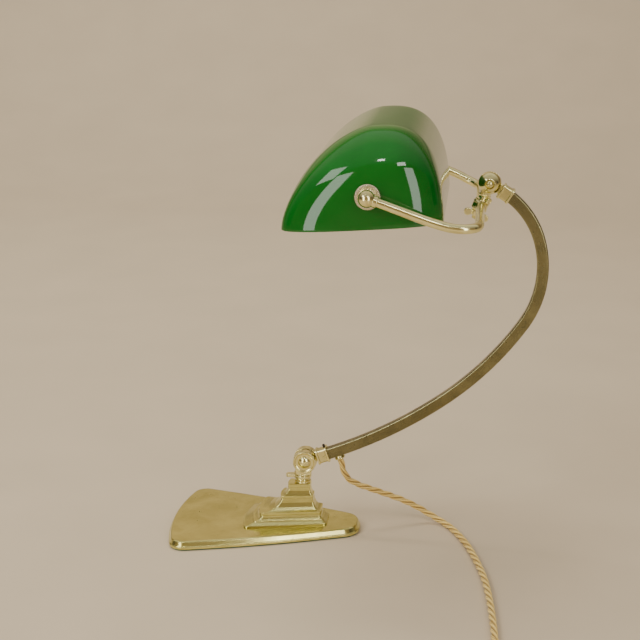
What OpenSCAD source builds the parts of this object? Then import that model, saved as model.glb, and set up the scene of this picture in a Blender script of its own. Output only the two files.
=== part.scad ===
// Adjustable desk lamp with a half-barrel glass shade.
// Millimetres. +Z is up, +X runs from the shade side of the base to its narrow rear,
// and the origin is on the surface that the felt stands on.

/* [Base] */
// Length of the base plate's top face
base_len = 175; // [160:1:190]
// Thickness of the base plate
plate_t = 7.6; // [6:0.1:10]
// Thickness of the felt under the base
felt_t = 1; // [0.8:0.1:1.5]
// How far the bevelled rim stands out beyond the top face
rim_out = 2.5; // [1:0.1:4]
// Height of the stepped pedestal
pedestal_h = 37.9; // [34:0.1:42]
// Where the neck stands along the base
neck_x = 36; // [34:0.5:38]

/* [Lower knuckle] */
// Height of the lower knuckle's pivot
lower_pivot_z = 68.6; // [67:0.1:71]
// Radius of the fixed knuckle cheek
cheek_r = 10.7; // [9:0.1:11]
// Length of the clamping lever from the neck's axis
lever_len = 16; // [13:0.5:20]

/* [Arm] */
// Depth of the arm's section, in the plane of its curve
arm_depth = 10.6; // [9:0.1:12]
// Width of the arm's section
arm_width = 9; // [8:0.1:10]
// Wall of the arm's tube
arm_wall = 1.2; // [1:0.1:1.5]
// Slope of the arm where it leaves the lower knuckle
arm_slope = 19.5; // [17:0.5:22]

/* [Head] */
// Radius of the upper ball knuckle
ball_r = 10.2; // [9:0.1:11]
// Length from the ball's centre to the fork's crossbar
neck_len = 22; // [21:0.5:24]
// Lean of the neck from upright
neck_lean = 21.5; // [18:0.5:25]

/* [Fork] */
// Radius of the fork's tube
fork_r = 4; // [3.5:0.1:4.5]
// Distance from the middle of the lamp to each fork arm
fork_half = 122; // [121:0.5:124]
// Radius of the ball elbows at the fork's ends
elbow_r = 7.4; // [6.5:0.1:8]

/* [Shade] */
// Length of the glass shade
shade_len = 227; // [220:1:228]
// Width of the shade across its rim
shade_w = 137; // [130:0.5:142]
// Height of the shade from rim to crest
shade_h = 81.5; // [76:0.5:86]
// Rise of the rim from front to rear
rim_rise = 4; // [2:0.1:6]
// Length over which the crown rounds down to each end
crown_len = 45; // [35:1:55]
// Length over which the front and rear walls curve in at each end
corner_len = 24; // [16:1:30]
// Thickness of the green outer glass
green_t = 2.6; // [2:0.1:3]
// Thickness of the white inner glass
white_t = 1.6; // [1:0.1:2]

/* [Lamp holder] */
// Radius of the lamp holder's shell
holder_r = 16; // [15:0.1:17]
// Radius of the tubular bulb
bulb_r = 15; // [12:0.5:16]

/* [Cord] */
// Radius of the twisted silk cord
cord_r = 3; // [2.5:0.1:3.5]
// Mean radius of the stored coil
coil_r = 33; // [30:1:36]

/* [Hidden] */

$fn = 64;
brass = "#d9b45a";
dark_brass = "#8d7a3a";
steel = "#9a9a98";

plate_z = felt_t;
plate_top = plate_z + plate_t;
recess_top = plate_z + 4.6;
pedestal_top = plate_top + pedestal_h;

// ---- outlines with rounded corners ----
function unit(v) = v / norm(v);
function turn(a, b) = let (d = b - a) d > 180 ? d - 360 : d < -180 ? d + 360 : d;
function corner_arc(a, b, c, inset, steps) =
    let (u = unit([a.x - b.x, a.y - b.y]), v = unit([c.x - b.x, c.y - b.y]), r = b[2],
        half = acos(u * v) / 2, reach = r / tan(half),
        centre = [b.x, b.y] + unit(u + v) * r / sin(half),
        from = [b.x, b.y] + u * reach - centre, to = [b.x, b.y] + v * reach - centre,
        start = atan2(from.y, from.x), swing = turn(start, atan2(to.y, to.x)))
    [for (i = [0 : steps]) centre + (r - inset) * [cos(start + swing * i / steps),
        sin(start + swing * i / steps)]];
function outline(corners, inset = 0, steps = 8) =
    let (n = len(corners))
    [for (i = [0 : n - 1]) each corner_arc(corners[(i + n - 1) % n], corners[i],
        corners[(i + 1) % n], inset, steps)];

// A closed solid through rings that all have the same number of points
module loft(rings) {
    n = len(rings[0]);
    m = len(rings);
    polyhedron([for (ring = rings) each ring],
        concat([[for (i = [0 : n - 1]) i]], [[for (i = [n - 1 : -1 : 0]) (m - 1) * n + i]],
            [for (k = [0 : m - 2]) for (i = [0 : n - 1])
                [k * n + i, (k + 1) * n + i, (k + 1) * n + (i + 1) % n, k * n + (i + 1) % n]]));
}

// ---- curves and swept tubes ----
function spline_point(a, b, c, d, t) = 0.5 * (2 * b + (c - a) * t
    + (2 * a - 5 * b + 4 * c - d) * t * t + (3 * b - a - 3 * c + d) * t * t * t);
function spline(p, steps) =
    let (n = len(p))
    concat([for (i = [0 : n - 2]) for (k = [0 : steps - 1])
        spline_point(p[max(i - 1, 0)], p[i], p[i + 1], p[min(i + 2, n - 1)], k / steps)], [p[n - 1]]);
function heading(p, i) = unit(p[min(i + 1, len(p) - 1)] - p[max(i - 1, 0)]);
function ring_at(centre, along, up, r, sides) =
    let (side = unit(cross(along, up)), top = cross(side, along))
    [for (i = [0 : sides - 1]) centre + r * (cos(360 * i / sides) * side
        + sin(360 * i / sides) * top)];
function tube_rings(p, up, r, sides) = [for (i = [0 : len(p) - 1])
    ring_at(p[i], heading(p, i), up, r, sides)];

// A hollow bar from matching rings: outer wall, inner wall and the two end faces
module hollow_loft(skin, bore) {
    n = len(skin[0]);
    m = len(skin);
    polyhedron(concat([for (ring = skin) each ring], [for (ring = bore) each ring]),
        concat(
            [for (k = [0 : m - 2]) for (i = [0 : n - 1])
                [k * n + i, k * n + (i + 1) % n, (k + 1) * n + (i + 1) % n, (k + 1) * n + i]],
            [for (k = [0 : m - 2]) for (i = [0 : n - 1])
                [(m + k) * n + (i + 1) % n, (m + k) * n + i,
                    (m + k + 1) * n + i, (m + k + 1) * n + (i + 1) % n]],
            [for (i = [0 : n - 1]) [(i + 1) % n, i, m * n + i, m * n + (i + 1) % n]],
            [for (i = [0 : n - 1]) [(m - 1) * n + i, (m - 1) * n + (i + 1) % n,
                (2 * m - 1) * n + (i + 1) % n, (2 * m - 1) * n + i]]));
}

module hollow_tube(p, up, outer, inner, sides) {
    hollow_loft(tube_rings(p, up, outer, sides), tube_rings(p, up, inner, sides));
}

module solid_tube(p, up, r, sides) {
    rings = tube_rings(p, up, r, sides);
    loft([for (ring = rings) [for (i = [sides - 1 : -1 : 0]) ring[i]]]);
}

// A cylinder along Y between two distances from the middle of the lamp
module y_cylinder(from_y, to_y, r) {
    translate([0, from_y, 0]) rotate([-90, 0, 0]) cylinder(h = to_y - from_y, r = r);
}

module y_ring(from_y, to_y, r, bore) {
    difference() {
        y_cylinder(from_y, to_y, r);
        y_cylinder(from_y - 1, to_y + 1, bore);
    }
}

// ---- base ----
// Corners of the base plate's top face: x, y and rounding radius
base_half = base_len / 2;
base_corners = [[-base_half - 6.5, 0, 225], [10.5 - base_half, -69, 12], [2, -48.8, 900],
    [base_half + 0.5, -16, 17], [base_half + 0.5, 16, 17], [2, 48.8, 900],
    [10.5 - base_half, 69, 12]];
base_screw_spots = [[-60, 30], [-60, -30], [-20, 28], [-20, -28], [60, 0]];
pedestal_screw_spots = [[4, 9], [4, -9]];
screw_r = 2;

function flat_ring(points, z) = [for (p = points) [p.x, p.y, z]];
module base_outline(inset) {
    polygon(outline(base_corners, inset));
}

module base_plate() color(brass) difference() {
    loft([
        flat_ring(outline(base_corners, 0.6 - rim_out), plate_z),
        flat_ring(outline(base_corners, -rim_out), plate_z + 0.6),
        flat_ring(outline(base_corners, -rim_out), plate_z + 2.6),
        flat_ring(outline(base_corners, 0.5 - rim_out), plate_z + 3.2),
        flat_ring(outline(base_corners, -0.6), plate_top - 1),
        flat_ring(outline(base_corners, -0.1), plate_top - 0.2),
        flat_ring(outline(base_corners, 0.4), plate_top)]);
    translate([0, 0, plate_z - 1]) linear_extrude(recess_top - plate_z + 1) base_outline(7);
    translate([neck_x, 0, 0]) cylinder(h = 20, r = 5.1);
    for (spot = pedestal_screw_spots)
        translate([spot.x, spot.y, 0]) cylinder(h = 20, r = screw_r + 0.1);
    for (spot = base_screw_spots)
        translate([spot.x, spot.y, recess_top - 1]) cylinder(h = 2.6, r = screw_r + 0.1);
}

module base_ballast() color("#3a3b3d") difference() {
    translate([0, 0, plate_z + 0.1]) linear_extrude(recess_top - plate_z - 0.2) base_outline(7.4);
    translate([neck_x, 0, 0]) cylinder(h = 20, r = 13);
    for (spot = pedestal_screw_spots)
        translate([spot.x, spot.y, 0]) cylinder(h = 20, r = 5);
    for (spot = base_screw_spots) translate([spot.x, spot.y, 0]) {
        cylinder(h = 20, r = screw_r + 0.1);
        translate([0, 0, plate_z]) cylinder(h = 1.9, r = 4.1);
    }
}

module base_felt() color("#1f5a34")
    linear_extrude(felt_t - 0.02) base_outline(1.2 - rim_out);

module slotted_screw(length, head_r, head_t) {
    difference() {
        union() {
            cylinder(h = head_t, r = head_r);
            cylinder(h = length, r = screw_r);
        }
        translate([-head_r - 1, -0.4, -1]) cube([2 * head_r + 2, 0.8, 1.6]);
    }
}

module base_screws() color(steel) {
    for (spot = base_screw_spots)
        translate([spot.x, spot.y, plate_z + 0.2]) slotted_screw(5.4, 4, 1.6);
    for (spot = pedestal_screw_spots)
        translate([spot.x, spot.y, recess_top - 2.6]) slotted_screw(12, 3.8, 2.5);
}

// ---- pedestal ----
// Plan of the pedestal at a stage from its foot (0) to its top (1)
function pedestal_plan(stage) =
    let (front = -19.5 + 45 * stage, rear = 60 - 17.5 * stage,
        wide = 30 - 24 * stage, narrow = 13.6 - 8.6 * stage)
    outline([[front - 0.1 * wide, 0, 2.6 * wide], [front + 0.1 * wide, -wide, 0.12 * wide],
        [rear, -narrow, 0.25 * narrow], [rear, narrow, 0.25 * narrow],
        [front + 0.1 * wide, wide, 0.12 * wide]]);
// Height above the plate and stage, in order from the foot: a low plinth, three coved steps and
// a top block
pedestal_steps = [[0, 0], [1.3, 0], [1.8, 0.015], [1.8, 0.04], [2.6, 0.09], [3.5, 0.14],
    [4.3, 0.195], [5.2, 0.2], [5.5, 0.215], [5.5, 0.25], [6.4, 0.3], [8, 0.34], [10.2, 0.36],
    [10.2, 0.33], [12.6, 0.34], [12.6, 0.42], [13.6, 0.54], [16, 0.66], [20, 0.75], [24.4, 0.80],
    [24.4, 0.77], [26.6, 0.78], [26.6, 0.83], [28.4, 0.88], [31, 0.92], [34.4, 0.95],
    [34.4, 0.925], [37.3, 0.93], [37.9, 0.95]];

module pedestal() color(brass) difference() {
    loft([for (step = pedestal_steps)
        flat_ring(pedestal_plan(step[1]), plate_top + step[0] * pedestal_h / 37.9)]);
    translate([neck_x, 0, 0]) cylinder(h = 80, r = 5.1);
    for (spot = pedestal_screw_spots)
        translate([spot.x, spot.y, 0]) cylinder(h = plate_top + 6.4, r = screw_r + 0.1);
}

// ---- neck ----
lower_pivot = [38.3, 0, lower_pivot_z];
collar_top = pedestal_top + 1.4;
shoulder_z = 51.4;
lever_t = 3.1;
flange_z = shoulder_z + lever_t + 0.3;
spigot_r = 5.2;

module pedestal_stud() color(steel) difference() {
    translate([neck_x, 0, plate_z + 1]) cylinder(h = 48 - plate_z, r = 5);
    translate([neck_x, 0, 0]) cylinder(h = 80, r = 3);
}

module pedestal_nut() color(steel) difference() {
    translate([neck_x, 0, recess_top - 3.9]) cylinder(h = 3, r = 9.2, $fn = 6);
    translate([neck_x, 0, 0]) cylinder(h = 20, r = 5.05);
}

module pedestal_washer() color(steel) difference() {
    translate([neck_x, 0, recess_top - 0.9]) cylinder(h = 0.9, r = 11);
    translate([neck_x, 0, 0]) cylinder(h = 20, r = 5.2);
}

module pedestal_collar() color(brass) translate([neck_x, 0, pedestal_top])
    rotate_extrude() polygon([[5.1, 0], [6.6, 0], [7, 0.4], [7, 1], [6.6, 1.4], [5.1, 1.4]]);

module neck_post() color(brass) translate([neck_x, 0, 0]) difference() {
    rotate_extrude() polygon([[0, collar_top], [7.9, collar_top], [7.9, collar_top + 0.7],
        [6.5, collar_top + 1.5], [6.3, shoulder_z - 1.5], [7.4, shoulder_z - 0.7],
        [7.6, shoulder_z], [spigot_r, shoulder_z], [spigot_r, flange_z + 1.4], [0, flange_z + 1.4]]);
    cylinder(h = 49.05, r = 5.05);
    cylinder(h = 80, r = 3);
}

module clamp_lever() color(brass) difference() {
    union() {
        translate([neck_x, 0, shoulder_z + 0.15]) cylinder(h = lever_t - 0.15, r = 8.2);
        translate([0, 0, shoulder_z + 0.15]) linear_extrude(lever_t - 0.15)
            polygon([[neck_x, -4], [neck_x - lever_len + 4, -3.2], [neck_x - lever_len + 4, 3.2],
                [neck_x, 4]]);
        translate([neck_x - lever_len + 3.4, 0, shoulder_z + 0.15])
            cylinder(h = lever_t - 0.15, r = 3.4);
    }
    translate([neck_x, 0, 0]) cylinder(h = 80, r = spigot_r + 0.06);
}

bolt_r = 3;
far_cheek_r = 11.3;

// A cheek's outer face has a raised rim round a shallow dish
module dished_cheek(r, thick) {
    rotate_extrude() polygon([[0, 0], [r, 0], [r, thick - 0.7], [r - 0.5, thick], [r - 1.5, thick],
        [r - 2, thick - 0.7], [r - 2.6, thick - 1], [0, thick - 1]]);
}

module lower_cheek() color(brass) difference() {
    union() {
        translate(lower_pivot) translate([0, -0.6, 0]) rotate([90, 0, 0]) dished_cheek(cheek_r, 8);
        translate([neck_x, 0, flange_z]) cylinder(h = 1.8, r = 8.2);
        hull() {
            translate([neck_x - 5.6, -7.6, flange_z + 0.8]) cube([13.2, 7, 1]);
            translate([lower_pivot.x - 9, -7.6, lower_pivot_z - 2]) cube([18, 7, 1]);
        }
    }
    translate([lower_pivot.x, 0, lower_pivot_z]) y_cylinder(-20, 20, bolt_r + 0.04);
    translate([neck_x, 0, 0]) cylinder(h = flange_z + 1.45, r = spigot_r + 0.03);
}

module slotted_dome(r, height) {
    dome_r = (r * r + height * height) / (2 * height);
    difference() {
        intersection() {
            translate([0, 0, height - dome_r]) sphere(r = dome_r);
            cylinder(h = height + 1, r = r);
        }
        translate([-r, -0.6, height - 0.9]) cube([2 * r, 1.2, 2]);
    }
}

module lower_bolt() color(brass) translate(lower_pivot) {
    translate([0, -7.6, 0]) rotate([90, 0, 0]) rotate([0, 0, 25]) slotted_dome(6, 3);
    y_cylinder(-7.6, 13, bolt_r);
}

module lower_bolt_nut() color(brass) translate(lower_pivot) difference() {
    union() {
        y_cylinder(7.7, 8.5, 6.8);
        translate([0, 8.5, 0]) rotate([-90, 0, 0]) cylinder(h = 3.2, r = 5.8, $fn = 6);
    }
    y_cylinder(0, 20, bolt_r + 0.04);
}

module lower_friction_disc() color("#5b3a24") translate(lower_pivot)
    y_ring(-0.5, 0.5, 9, bolt_r + 0.1);

// ---- arm ----
// The arm's curve is a chain of arcs that touch: radius and sweep, from the bottom
arm_arcs = [[430, 16.2], [299, 20.4], [93, 49.4], [76, 42]];
arm_start = [lower_pivot.x + 19.3 * cos(arm_slope), 0, lower_pivot_z + 19.3 * sin(arm_slope)];
function arc_centre(p, a, r) = p + r * [-sin(a), 0, cos(a)];
function arc_end(p, a, r, sweep) = arc_centre(p, a, r) + r * [sin(a + sweep), 0, -cos(a + sweep)];
function chain_point(i) = i == 0 ? arm_start
    : arc_end(chain_point(i - 1), chain_angle(i - 1), arm_arcs[i - 1][0], arm_arcs[i - 1][1]);
function chain_angle(i) = i == 0 ? arm_slope : chain_angle(i - 1) + arm_arcs[i - 1][1];
arm_end = chain_point(4);
arm_end_slope = chain_angle(4);
ball_reach = 16.2;
ball = arm_end + ball_reach * [cos(arm_end_slope), 0, sin(arm_end_slope)];

function rect_outline(x, y, r, steps = 3) = outline([[-x, -y, r], [x, -y, r], [x, y, r],
    [-x, y, r]], 0, steps);
module arm_section(shrink, round_r) {
    polygon(rect_outline(arm_depth / 2 - shrink, arm_width / 2 - shrink, round_r));
}
// Stations along the arm: x, z and slope, with the straight ends that the collars hold
tube_from = 12.3;
tube_to = 11.6;
arm_stations = concat(
    [[lower_pivot.x + tube_from * cos(arm_slope), lower_pivot_z + tube_from * sin(arm_slope),
        arm_slope]],
    [for (i = [0 : 3]) let (steps = ceil(arm_arcs[i][1] / 3.6)) for (k = [0 : steps - 1])
        let (sweep = arm_arcs[i][1] * k / steps,
            p = arc_end(chain_point(i), chain_angle(i), arm_arcs[i][0], sweep))
        [p.x, p.z, chain_angle(i) + sweep]],
    [[arm_end.x, arm_end.z, arm_end_slope],
        [ball.x - tube_to * cos(arm_end_slope), ball.z - tube_to * sin(arm_end_slope),
            arm_end_slope]]);
function arm_rings(shrink, round_r) =
    let (section = rect_outline(arm_depth / 2 - shrink, arm_width / 2 - shrink, round_r))
    [for (s = arm_stations) [for (p = section)
        [s[0] - p.x * sin(s[2]), p.y, s[1] + p.x * cos(s[2])]]];

// Frames whose local +X runs along the arm, away from the knuckle
module lower_frame() {
    translate(lower_pivot) rotate([0, -arm_slope, 0]) children();
}
module upper_frame() {
    translate(ball) rotate([0, 180 - arm_end_slope, 0]) children();
}
module x_bar(from_x, to_x, shrink, round_r) {
    translate([from_x, 0, 0]) rotate([90, 0, 90]) linear_extrude(to_x - from_x)
        rotate(90) arm_section(shrink, round_r);
}

exit_u = 32.4;
bushing_bore = cord_r + 0.3;
cord_exit_drop = 8;

module arm_tube() color(dark_brass) difference() {
    hollow_loft(arm_rings(0, 1.4), arm_rings(arm_wall, 0.5));
    lower_frame() translate([exit_u, 0, -12]) cylinder(h = 11, r = 3.9);
    lower_frame() translate([21.5, 0, 2]) cylinder(h = 10, r = 1.3);
}

module arm_lower_cheek() color(brass) difference() {
    union() {
        translate(lower_pivot) translate([0, 0.6, 0]) rotate([-90, 0, 0])
            dished_cheek(far_cheek_r, 8);
        lower_frame() translate([5, 0.6, -4.6]) cube([7, 5.4, 9.2]);
        lower_frame() translate([11.4, -3.2, -3.9]) cube([9, 6.4, 7.8]);
    }
    translate(lower_pivot) y_cylinder(-20, 20, bolt_r + 0.06);
}

module sleeve(from_x, to_x) {
    band = 1.6;
    x_bar(from_x, to_x, -1.2, 2);
    x_bar(from_x, from_x + band, -2, 2.6);
    x_bar(to_x - band, to_x, -2, 2.6);
}
// The collars' bores follow the arm, which already curves inside them
module arm_outside() {
    loft([for (ring = arm_rings(-0.05, 1.45)) [for (i = [len(ring) - 1 : -1 : 0]) ring[i]]]);
}

module arm_lower_collar() color(brass) difference() {
    lower_frame() sleeve(tube_from + 0.05, 23.4);
    arm_outside();
    lower_frame() translate([21.5, 0, 2]) cylinder(h = 10, r = 1.3);
}

module collar_screw() color("#2a2622") lower_frame() translate([21.5, 0, 4.3])
    cylinder(h = 5.4, r = 1.2);

module cord_bushing() color(brass) lower_frame() translate([exit_u, 0, 0]) difference() {
    union() {
        translate([0, 0, -cord_exit_drop]) cylinder(h = cord_exit_drop - 4.2, r = 3.85);
        translate([0, 0, -cord_exit_drop]) cylinder(h = 1.4, r = 4.9);
    }
    translate([0, 0, -20]) cylinder(h = 30, r = bushing_bore);
}

// The lead inside the arm, from the bushing up to the upper cheek's tongue
function lower_point(u, v) = lower_pivot + u * [cos(arm_slope), 0, sin(arm_slope)]
    + v * [-sin(arm_slope), 0, cos(arm_slope)];
wire_steps = 6;
wire_route = concat(
    [lower_point(exit_u, -4.1), lower_point(exit_u + 2, -1), lower_point(exit_u + 8, 0.5)],
    [for (i = [0 : 3]) for (k = [i == 0 ? 2 : 0 : wire_steps - 1])
        arc_end(chain_point(i), chain_angle(i), arm_arcs[i][0], arm_arcs[i][1] * k / wire_steps)]);
module arm_wire() color("#3b2d1c") solid_tube(wire_route, [0, 1, 0], 2.2, 10);

module arm_upper_collar() color(brass) difference() {
    upper_frame() sleeve(tube_to + 0.05, 22.4);
    arm_outside();
}

// Half of the ball on one side of the middle plane: side is -1 for near, 1 for far
module half_ball(side) {
    intersection() {
        sphere(r = ball_r);
        translate([-20, side > 0 ? 0.6 : -20.6, -20]) cube([40, 20, 40]);
    }
}

module arm_upper_cheek() color(brass) difference() {
    union() {
        translate(ball) half_ball(1);
        upper_frame() translate([5, 0.6, -4.6]) cube([6.4, 5, 9.2]);
        upper_frame() translate([11, -3.2, -3.7]) cube([7, 6.4, 7.4]);
    }
    translate(ball) y_cylinder(-20, 20, 2.56);
    translate(ball) y_cylinder(6.2, 20, 5.2);
}

// ---- head ----
module head_frame() {
    translate(ball) rotate([0, neck_lean, 0]) children();
}
shoulder = neck_len - 5;
stud_r = 3;
screw_turn = -50;
screw_drop = 14.6;

module head_cheek() color(brass) difference() {
    union() {
        translate(ball) half_ball(-1);
        head_frame() translate([-4.6, -5.8, -11.2]) cube([9.2, 5.2, 6.6]);
        head_frame() translate([0, 0, -shoulder]) rotate_extrude() polygon([[0, 0], [6.2, 0],
            [6.2, 1], [4.7, 2], [4.6, 3.6], [5.6, 5], [5.9, shoulder - 10.9],
            [0, shoulder - 10.9]]);
    }
    translate(ball) y_cylinder(-20, 20, 2.54);
    translate(ball) y_cylinder(-20, -7.4, 4.3);
    head_frame() translate([0, 0, -shoulder - 1]) cylinder(h = 5, r = stud_r + 0.03);
    head_frame() translate([0, 0, -screw_drop]) rotate([0, 0, screw_turn]) rotate([0, 90, 0])
        translate([0, 0, 3.2]) cylinder(h = 10, r = 1.56);
}

module head_bolt() color(brass) translate(ball) {
    translate([0, -7.4, 0]) rotate([90, 0, 0]) rotate([0, 0, -20]) slotted_dome(4.2, 2.8);
    y_cylinder(-7.4, 9, 2.5);
}

module head_bolt_nut() color(brass) translate(ball) difference() {
    translate([0, 6.3, 0]) rotate([-90, 0, 0]) cylinder(h = 2.6, r = 4.9, $fn = 6);
    y_cylinder(0, 20, 2.54);
}

module head_friction_disc() color("#5b3a24") translate(ball) y_ring(-0.5, 0.5, 8.4, 2.6);

module head_stud() color(brass) head_frame() translate([0, 0, -neck_len - 13])
    cylinder(h = 12 + 9, r = stud_r);

module neck_screw() color(brass) head_frame() translate([0, 0, -screw_drop])
    rotate([0, 0, screw_turn]) rotate([0, 90, 0]) {
        translate([0, 0, 3.4]) cylinder(h = 4, r = 1.5);
        translate([0, 0, 6.5]) rotate_extrude() polygon([[0, 0], [2.3, 0], [2.9, 0.6], [2.9, 2.1],
            [2.3, 2.7], [0, 2.7]]);
    }

hub_half = 4.7;
wing_gap = 0.2;

module wing_nut() color(brass) head_frame() translate([0, 0, -neck_len - hub_half - wing_gap])
    difference() {
        union() {
            translate([0, 0, -5]) rotate_extrude() polygon([[0, 0], [4, 0], [4.8, 3.4], [4.8, 5],
                [0, 5]]);
            for (side = [-1, 1]) hull() {
                translate([side * 4, 0, -2.6]) rotate([90, 0, 0])
                    cylinder(h = 2.2, r = 1.9, center = true, $fn = 24);
                translate([side * 8.2, 0, -4.2]) rotate([90, 0, 0])
                    cylinder(h = 2.2, r = 3.4, center = true, $fn = 24);
            }
        }
        translate([0, 0, -20]) cylinder(h = 40, r = stud_r + 0.06);
    }

// ---- fork ----
hub = ball + neck_len * [-sin(neck_lean), 0, -cos(neck_lean)];
pivot = [104.3, 0, 341.9];
socket_r = fork_r + 0.05;
// The fork arms, from the hub outwards and then forwards to the elbows
near_route = [[hub.x, -4, hub.z], [196, -30, 315.6], [196, -60, 316.6], [196, -90, 317.8],
    [195.6, -106, 318.4], [192.6, -116.6, 318.6], [184, -121.6, 318.4], [172, -122, 319.4],
    [156, -122, 323.8], [132, -122, 332.2], [pivot.x + 6, -fork_half, pivot.z - 2.1]];
far_route = [[hub.x, 4, hub.z], [196, 30, 314.8], [196, 60, 314.4], [196, 90, 314],
    [195.6, 106, 314], [192.6, 116.6, 315], [184, 121.6, 318.6], [172, 122, 324.4],
    [156, 122, 330.6], [132, 122, 337], [pivot.x + 6, fork_half, pivot.z - 1.2]];

module fork_hub() color(brass) difference() {
    head_frame() translate([0, 0, -neck_len - hub_half]) rotate_extrude() polygon([[0, 0],
        [5.6, 0], [7.4, 1.6], [7.4, 2 * hub_half - 1.6], [6.4, 2 * hub_half - 0.2],
        [0, 2 * hub_half - 0.2]]);
    head_frame() translate([0, 0, -neck_len - 20]) cylinder(h = 40, r = stud_r + 0.06);
    for (side = [-1, 1]) translate(hub) rotate([side * -90, 0, 0]) translate([0, 0, 3.9])
        cylinder(h = 10, r = socket_r);
}

module fork_near_arm() color(brass)
    hollow_tube(spline(near_route, 3), [0, 0.05, 1], fork_r, fork_r - 1.2, 16);
module fork_far_arm() color(brass)
    hollow_tube(spline(far_route, 3), [0, 0.05, 1], fork_r, fork_r - 1.2, 16);

nipple_r = 4.2;
nipple_bore = 3;
glass_end = shade_len / 2;
bush_face = glass_end + 2.7;
boss_face = bush_face + 0.15;
boss_r = 6.2;

// One elbow: a ball with a boss that faces the shade and a socket for the fork's tube
module elbow(side) {
    arm_from = [pivot.x + 6, side * fork_half, pivot.z - (side < 0 ? 2.1 : 1.2)];
    arm_to = [132, side * fork_half, side < 0 ? 332.2 : 337];
    lean = atan2(arm_from.z - arm_to.z, arm_to.x - arm_from.x);
    joins_at = -acos(boss_r / elbow_r);
    difference() {
        translate([pivot.x, 0, pivot.z]) rotate([side * -90, 0, 0]) rotate_extrude()
            polygon(concat([[nipple_r + 0.03, boss_face + 6], [nipple_r + 0.03, boss_face],
                [boss_r, boss_face]],
                [for (i = [0 : 12]) let (a = joins_at + (90 - joins_at) * i / 12)
                    [i == 12 ? 0 : elbow_r * cos(a), fork_half + elbow_r * sin(a)]],
                [[0, boss_face + 6]]));
        translate(arm_from) rotate([0, 90 + lean, 0]) translate([0, 0, -0.4])
            cylinder(h = 20, r = socket_r);
    }
}

module fork_elbows() color(brass) for (side = [-1, 1]) elbow(side);

module pivot_nipples() color(brass) for (side = [-1, 1]) translate([pivot.x, 0, pivot.z])
    rotate([side * -90, 0, 0]) difference() {
        translate([0, 0, glass_end - 14.5]) cylinder(h = boss_face + 5.8 - glass_end + 14.5,
            r = nipple_r);
        cylinder(h = 200, r = nipple_bore);
    }

module near_nipple_nut() color(brass) translate([pivot.x, 0, pivot.z]) rotate([90, 0, 0])
    difference() {
        translate([0, 0, glass_end - 14]) cylinder(h = 3.4, r = 8, $fn = 6);
        cylinder(h = 200, r = nipple_r + 0.04);
    }

// ---- lamp holder and bulb, on the pivot's axis, from the far end inwards ----
holder_back = glass_end - 10.6;

module on_pivot() {
    translate([pivot.x, 0, pivot.z]) rotate([-90, 0, 0]) children();
}

module holder_cap() color(brass) on_pivot() translate([0, 0, holder_back - 14]) rotate_extrude()
    polygon([[nipple_r + 0.05, 14], [nipple_r + 0.05, 8], [7, 8], [12.4, 5], [14.9, 1.4],
        [14.9, 0], [holder_r, 0], [holder_r, 2], [13.6, 6.2], [8, 10], [8, 14]]);

// A hole across the holder for the key's shaft
module key_bore() {
    translate([pivot.x, key_y, pivot.z - 40]) cylinder(h = 31, r = key_r + 0.06);
}

module holder_shell() color(brass) difference() {
    on_pivot() translate([0, 0, holder_back - 50]) rotate_extrude() polygon([[15.2, 0],
        [holder_r + 0.6, 0], [holder_r + 0.6, 1.4], [holder_r, 2], [holder_r, 35.9],
        [15.2, 35.9]]);
    key_bore();
}

module holder_insert() color("#ece6d6") difference() {
    on_pivot() translate([0, 0, holder_back - 34]) difference() {
        cylinder(h = 19, r = 14.8);
        translate([0, 0, -1]) cylinder(h = 12, r = 14.2);
        for (side = [-1, 1]) translate([side * 8, 0, 0]) cylinder(h = 40, r = 1.8);
        cylinder(h = 40, r = 2.1);
    }
    key_bore();
}

module holder_thread() color(brass) on_pivot() translate([0, 0, holder_back - 46])
    rotate_extrude() polygon([[13.4, 0], [14, 0], [14, 22.6], [6, 22.6], [6, 22], [13.4, 22]]);

module holder_contact() color(brass) on_pivot() translate([0, 0, holder_back - 24]) {
    cylinder(h = 8, r = 2);
    translate([0, 0, 0.1]) cylinder(h = 0.8, r = 4.5);
}

key_y = holder_back - 19;
key_r = 1.6;
module switch_key() color("#2b1a12") translate([pivot.x, key_y, pivot.z]) {
    translate([0, 0, -19]) cylinder(h = 9, r = key_r);
    translate([0, 0, -19.6]) cylinder(h = 1.6, r = 4);
    translate([-6, -1.3, -23.4]) cube([12, 2.6, 4.2]);
}

bulb_back = holder_back - 25;
module bulb_cap() color("#b9b2a0") on_pivot() translate([0, 0, bulb_back - 25]) rotate_extrude()
    polygon([[12.4, 0], [13.1, 0], [13.1, 20], [6, 24.6], [0, 24.6], [0, 24], [5.8, 24],
        [12.4, 19.6]]);

module bulb_glass() color("#f4f2ea", 0.5) on_pivot() translate([0, 0, -40]) rotate_extrude()
    polygon(concat([for (i = [0 : 8]) [bulb_r * sin(90 * i / 8), bulb_r - bulb_r * cos(90 * i / 8)]],
        [[bulb_r, bulb_back + 4], [12.2, bulb_back + 14], [12.2, bulb_back + 20],
            [11.4, bulb_back + 20], [11.4, bulb_back + 13.6], [bulb_r - 0.8, bulb_back + 3.6]],
        [for (i = [8 : -1 : 0]) [(bulb_r - 0.8) * sin(90 * i / 8),
            bulb_r - (bulb_r - 0.8) * cos(90 * i / 8)]]));

module bulb_stem() color("#dfe6e6", 0.6) on_pivot() {
    translate([0, 0, bulb_back - 60]) cylinder(h = 40, r = 2.4);
    translate([0, 0, bulb_back - 20]) cylinder(h = 3, r = 11.3);
}

module bulb_filament() color("#c8b070") on_pivot() for (i = [0 : 3]) rotate([0, 0, 90 * i])
    translate([7, 0, -10]) {
        cylinder(h = bulb_back - 20, r = 0.4, $fn = 16);
        rotate([0, -90, 0]) translate([0, 0, 0]) cylinder(h = 7 - 0.5, r = 0.4, $fn = 16);
    }

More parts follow.
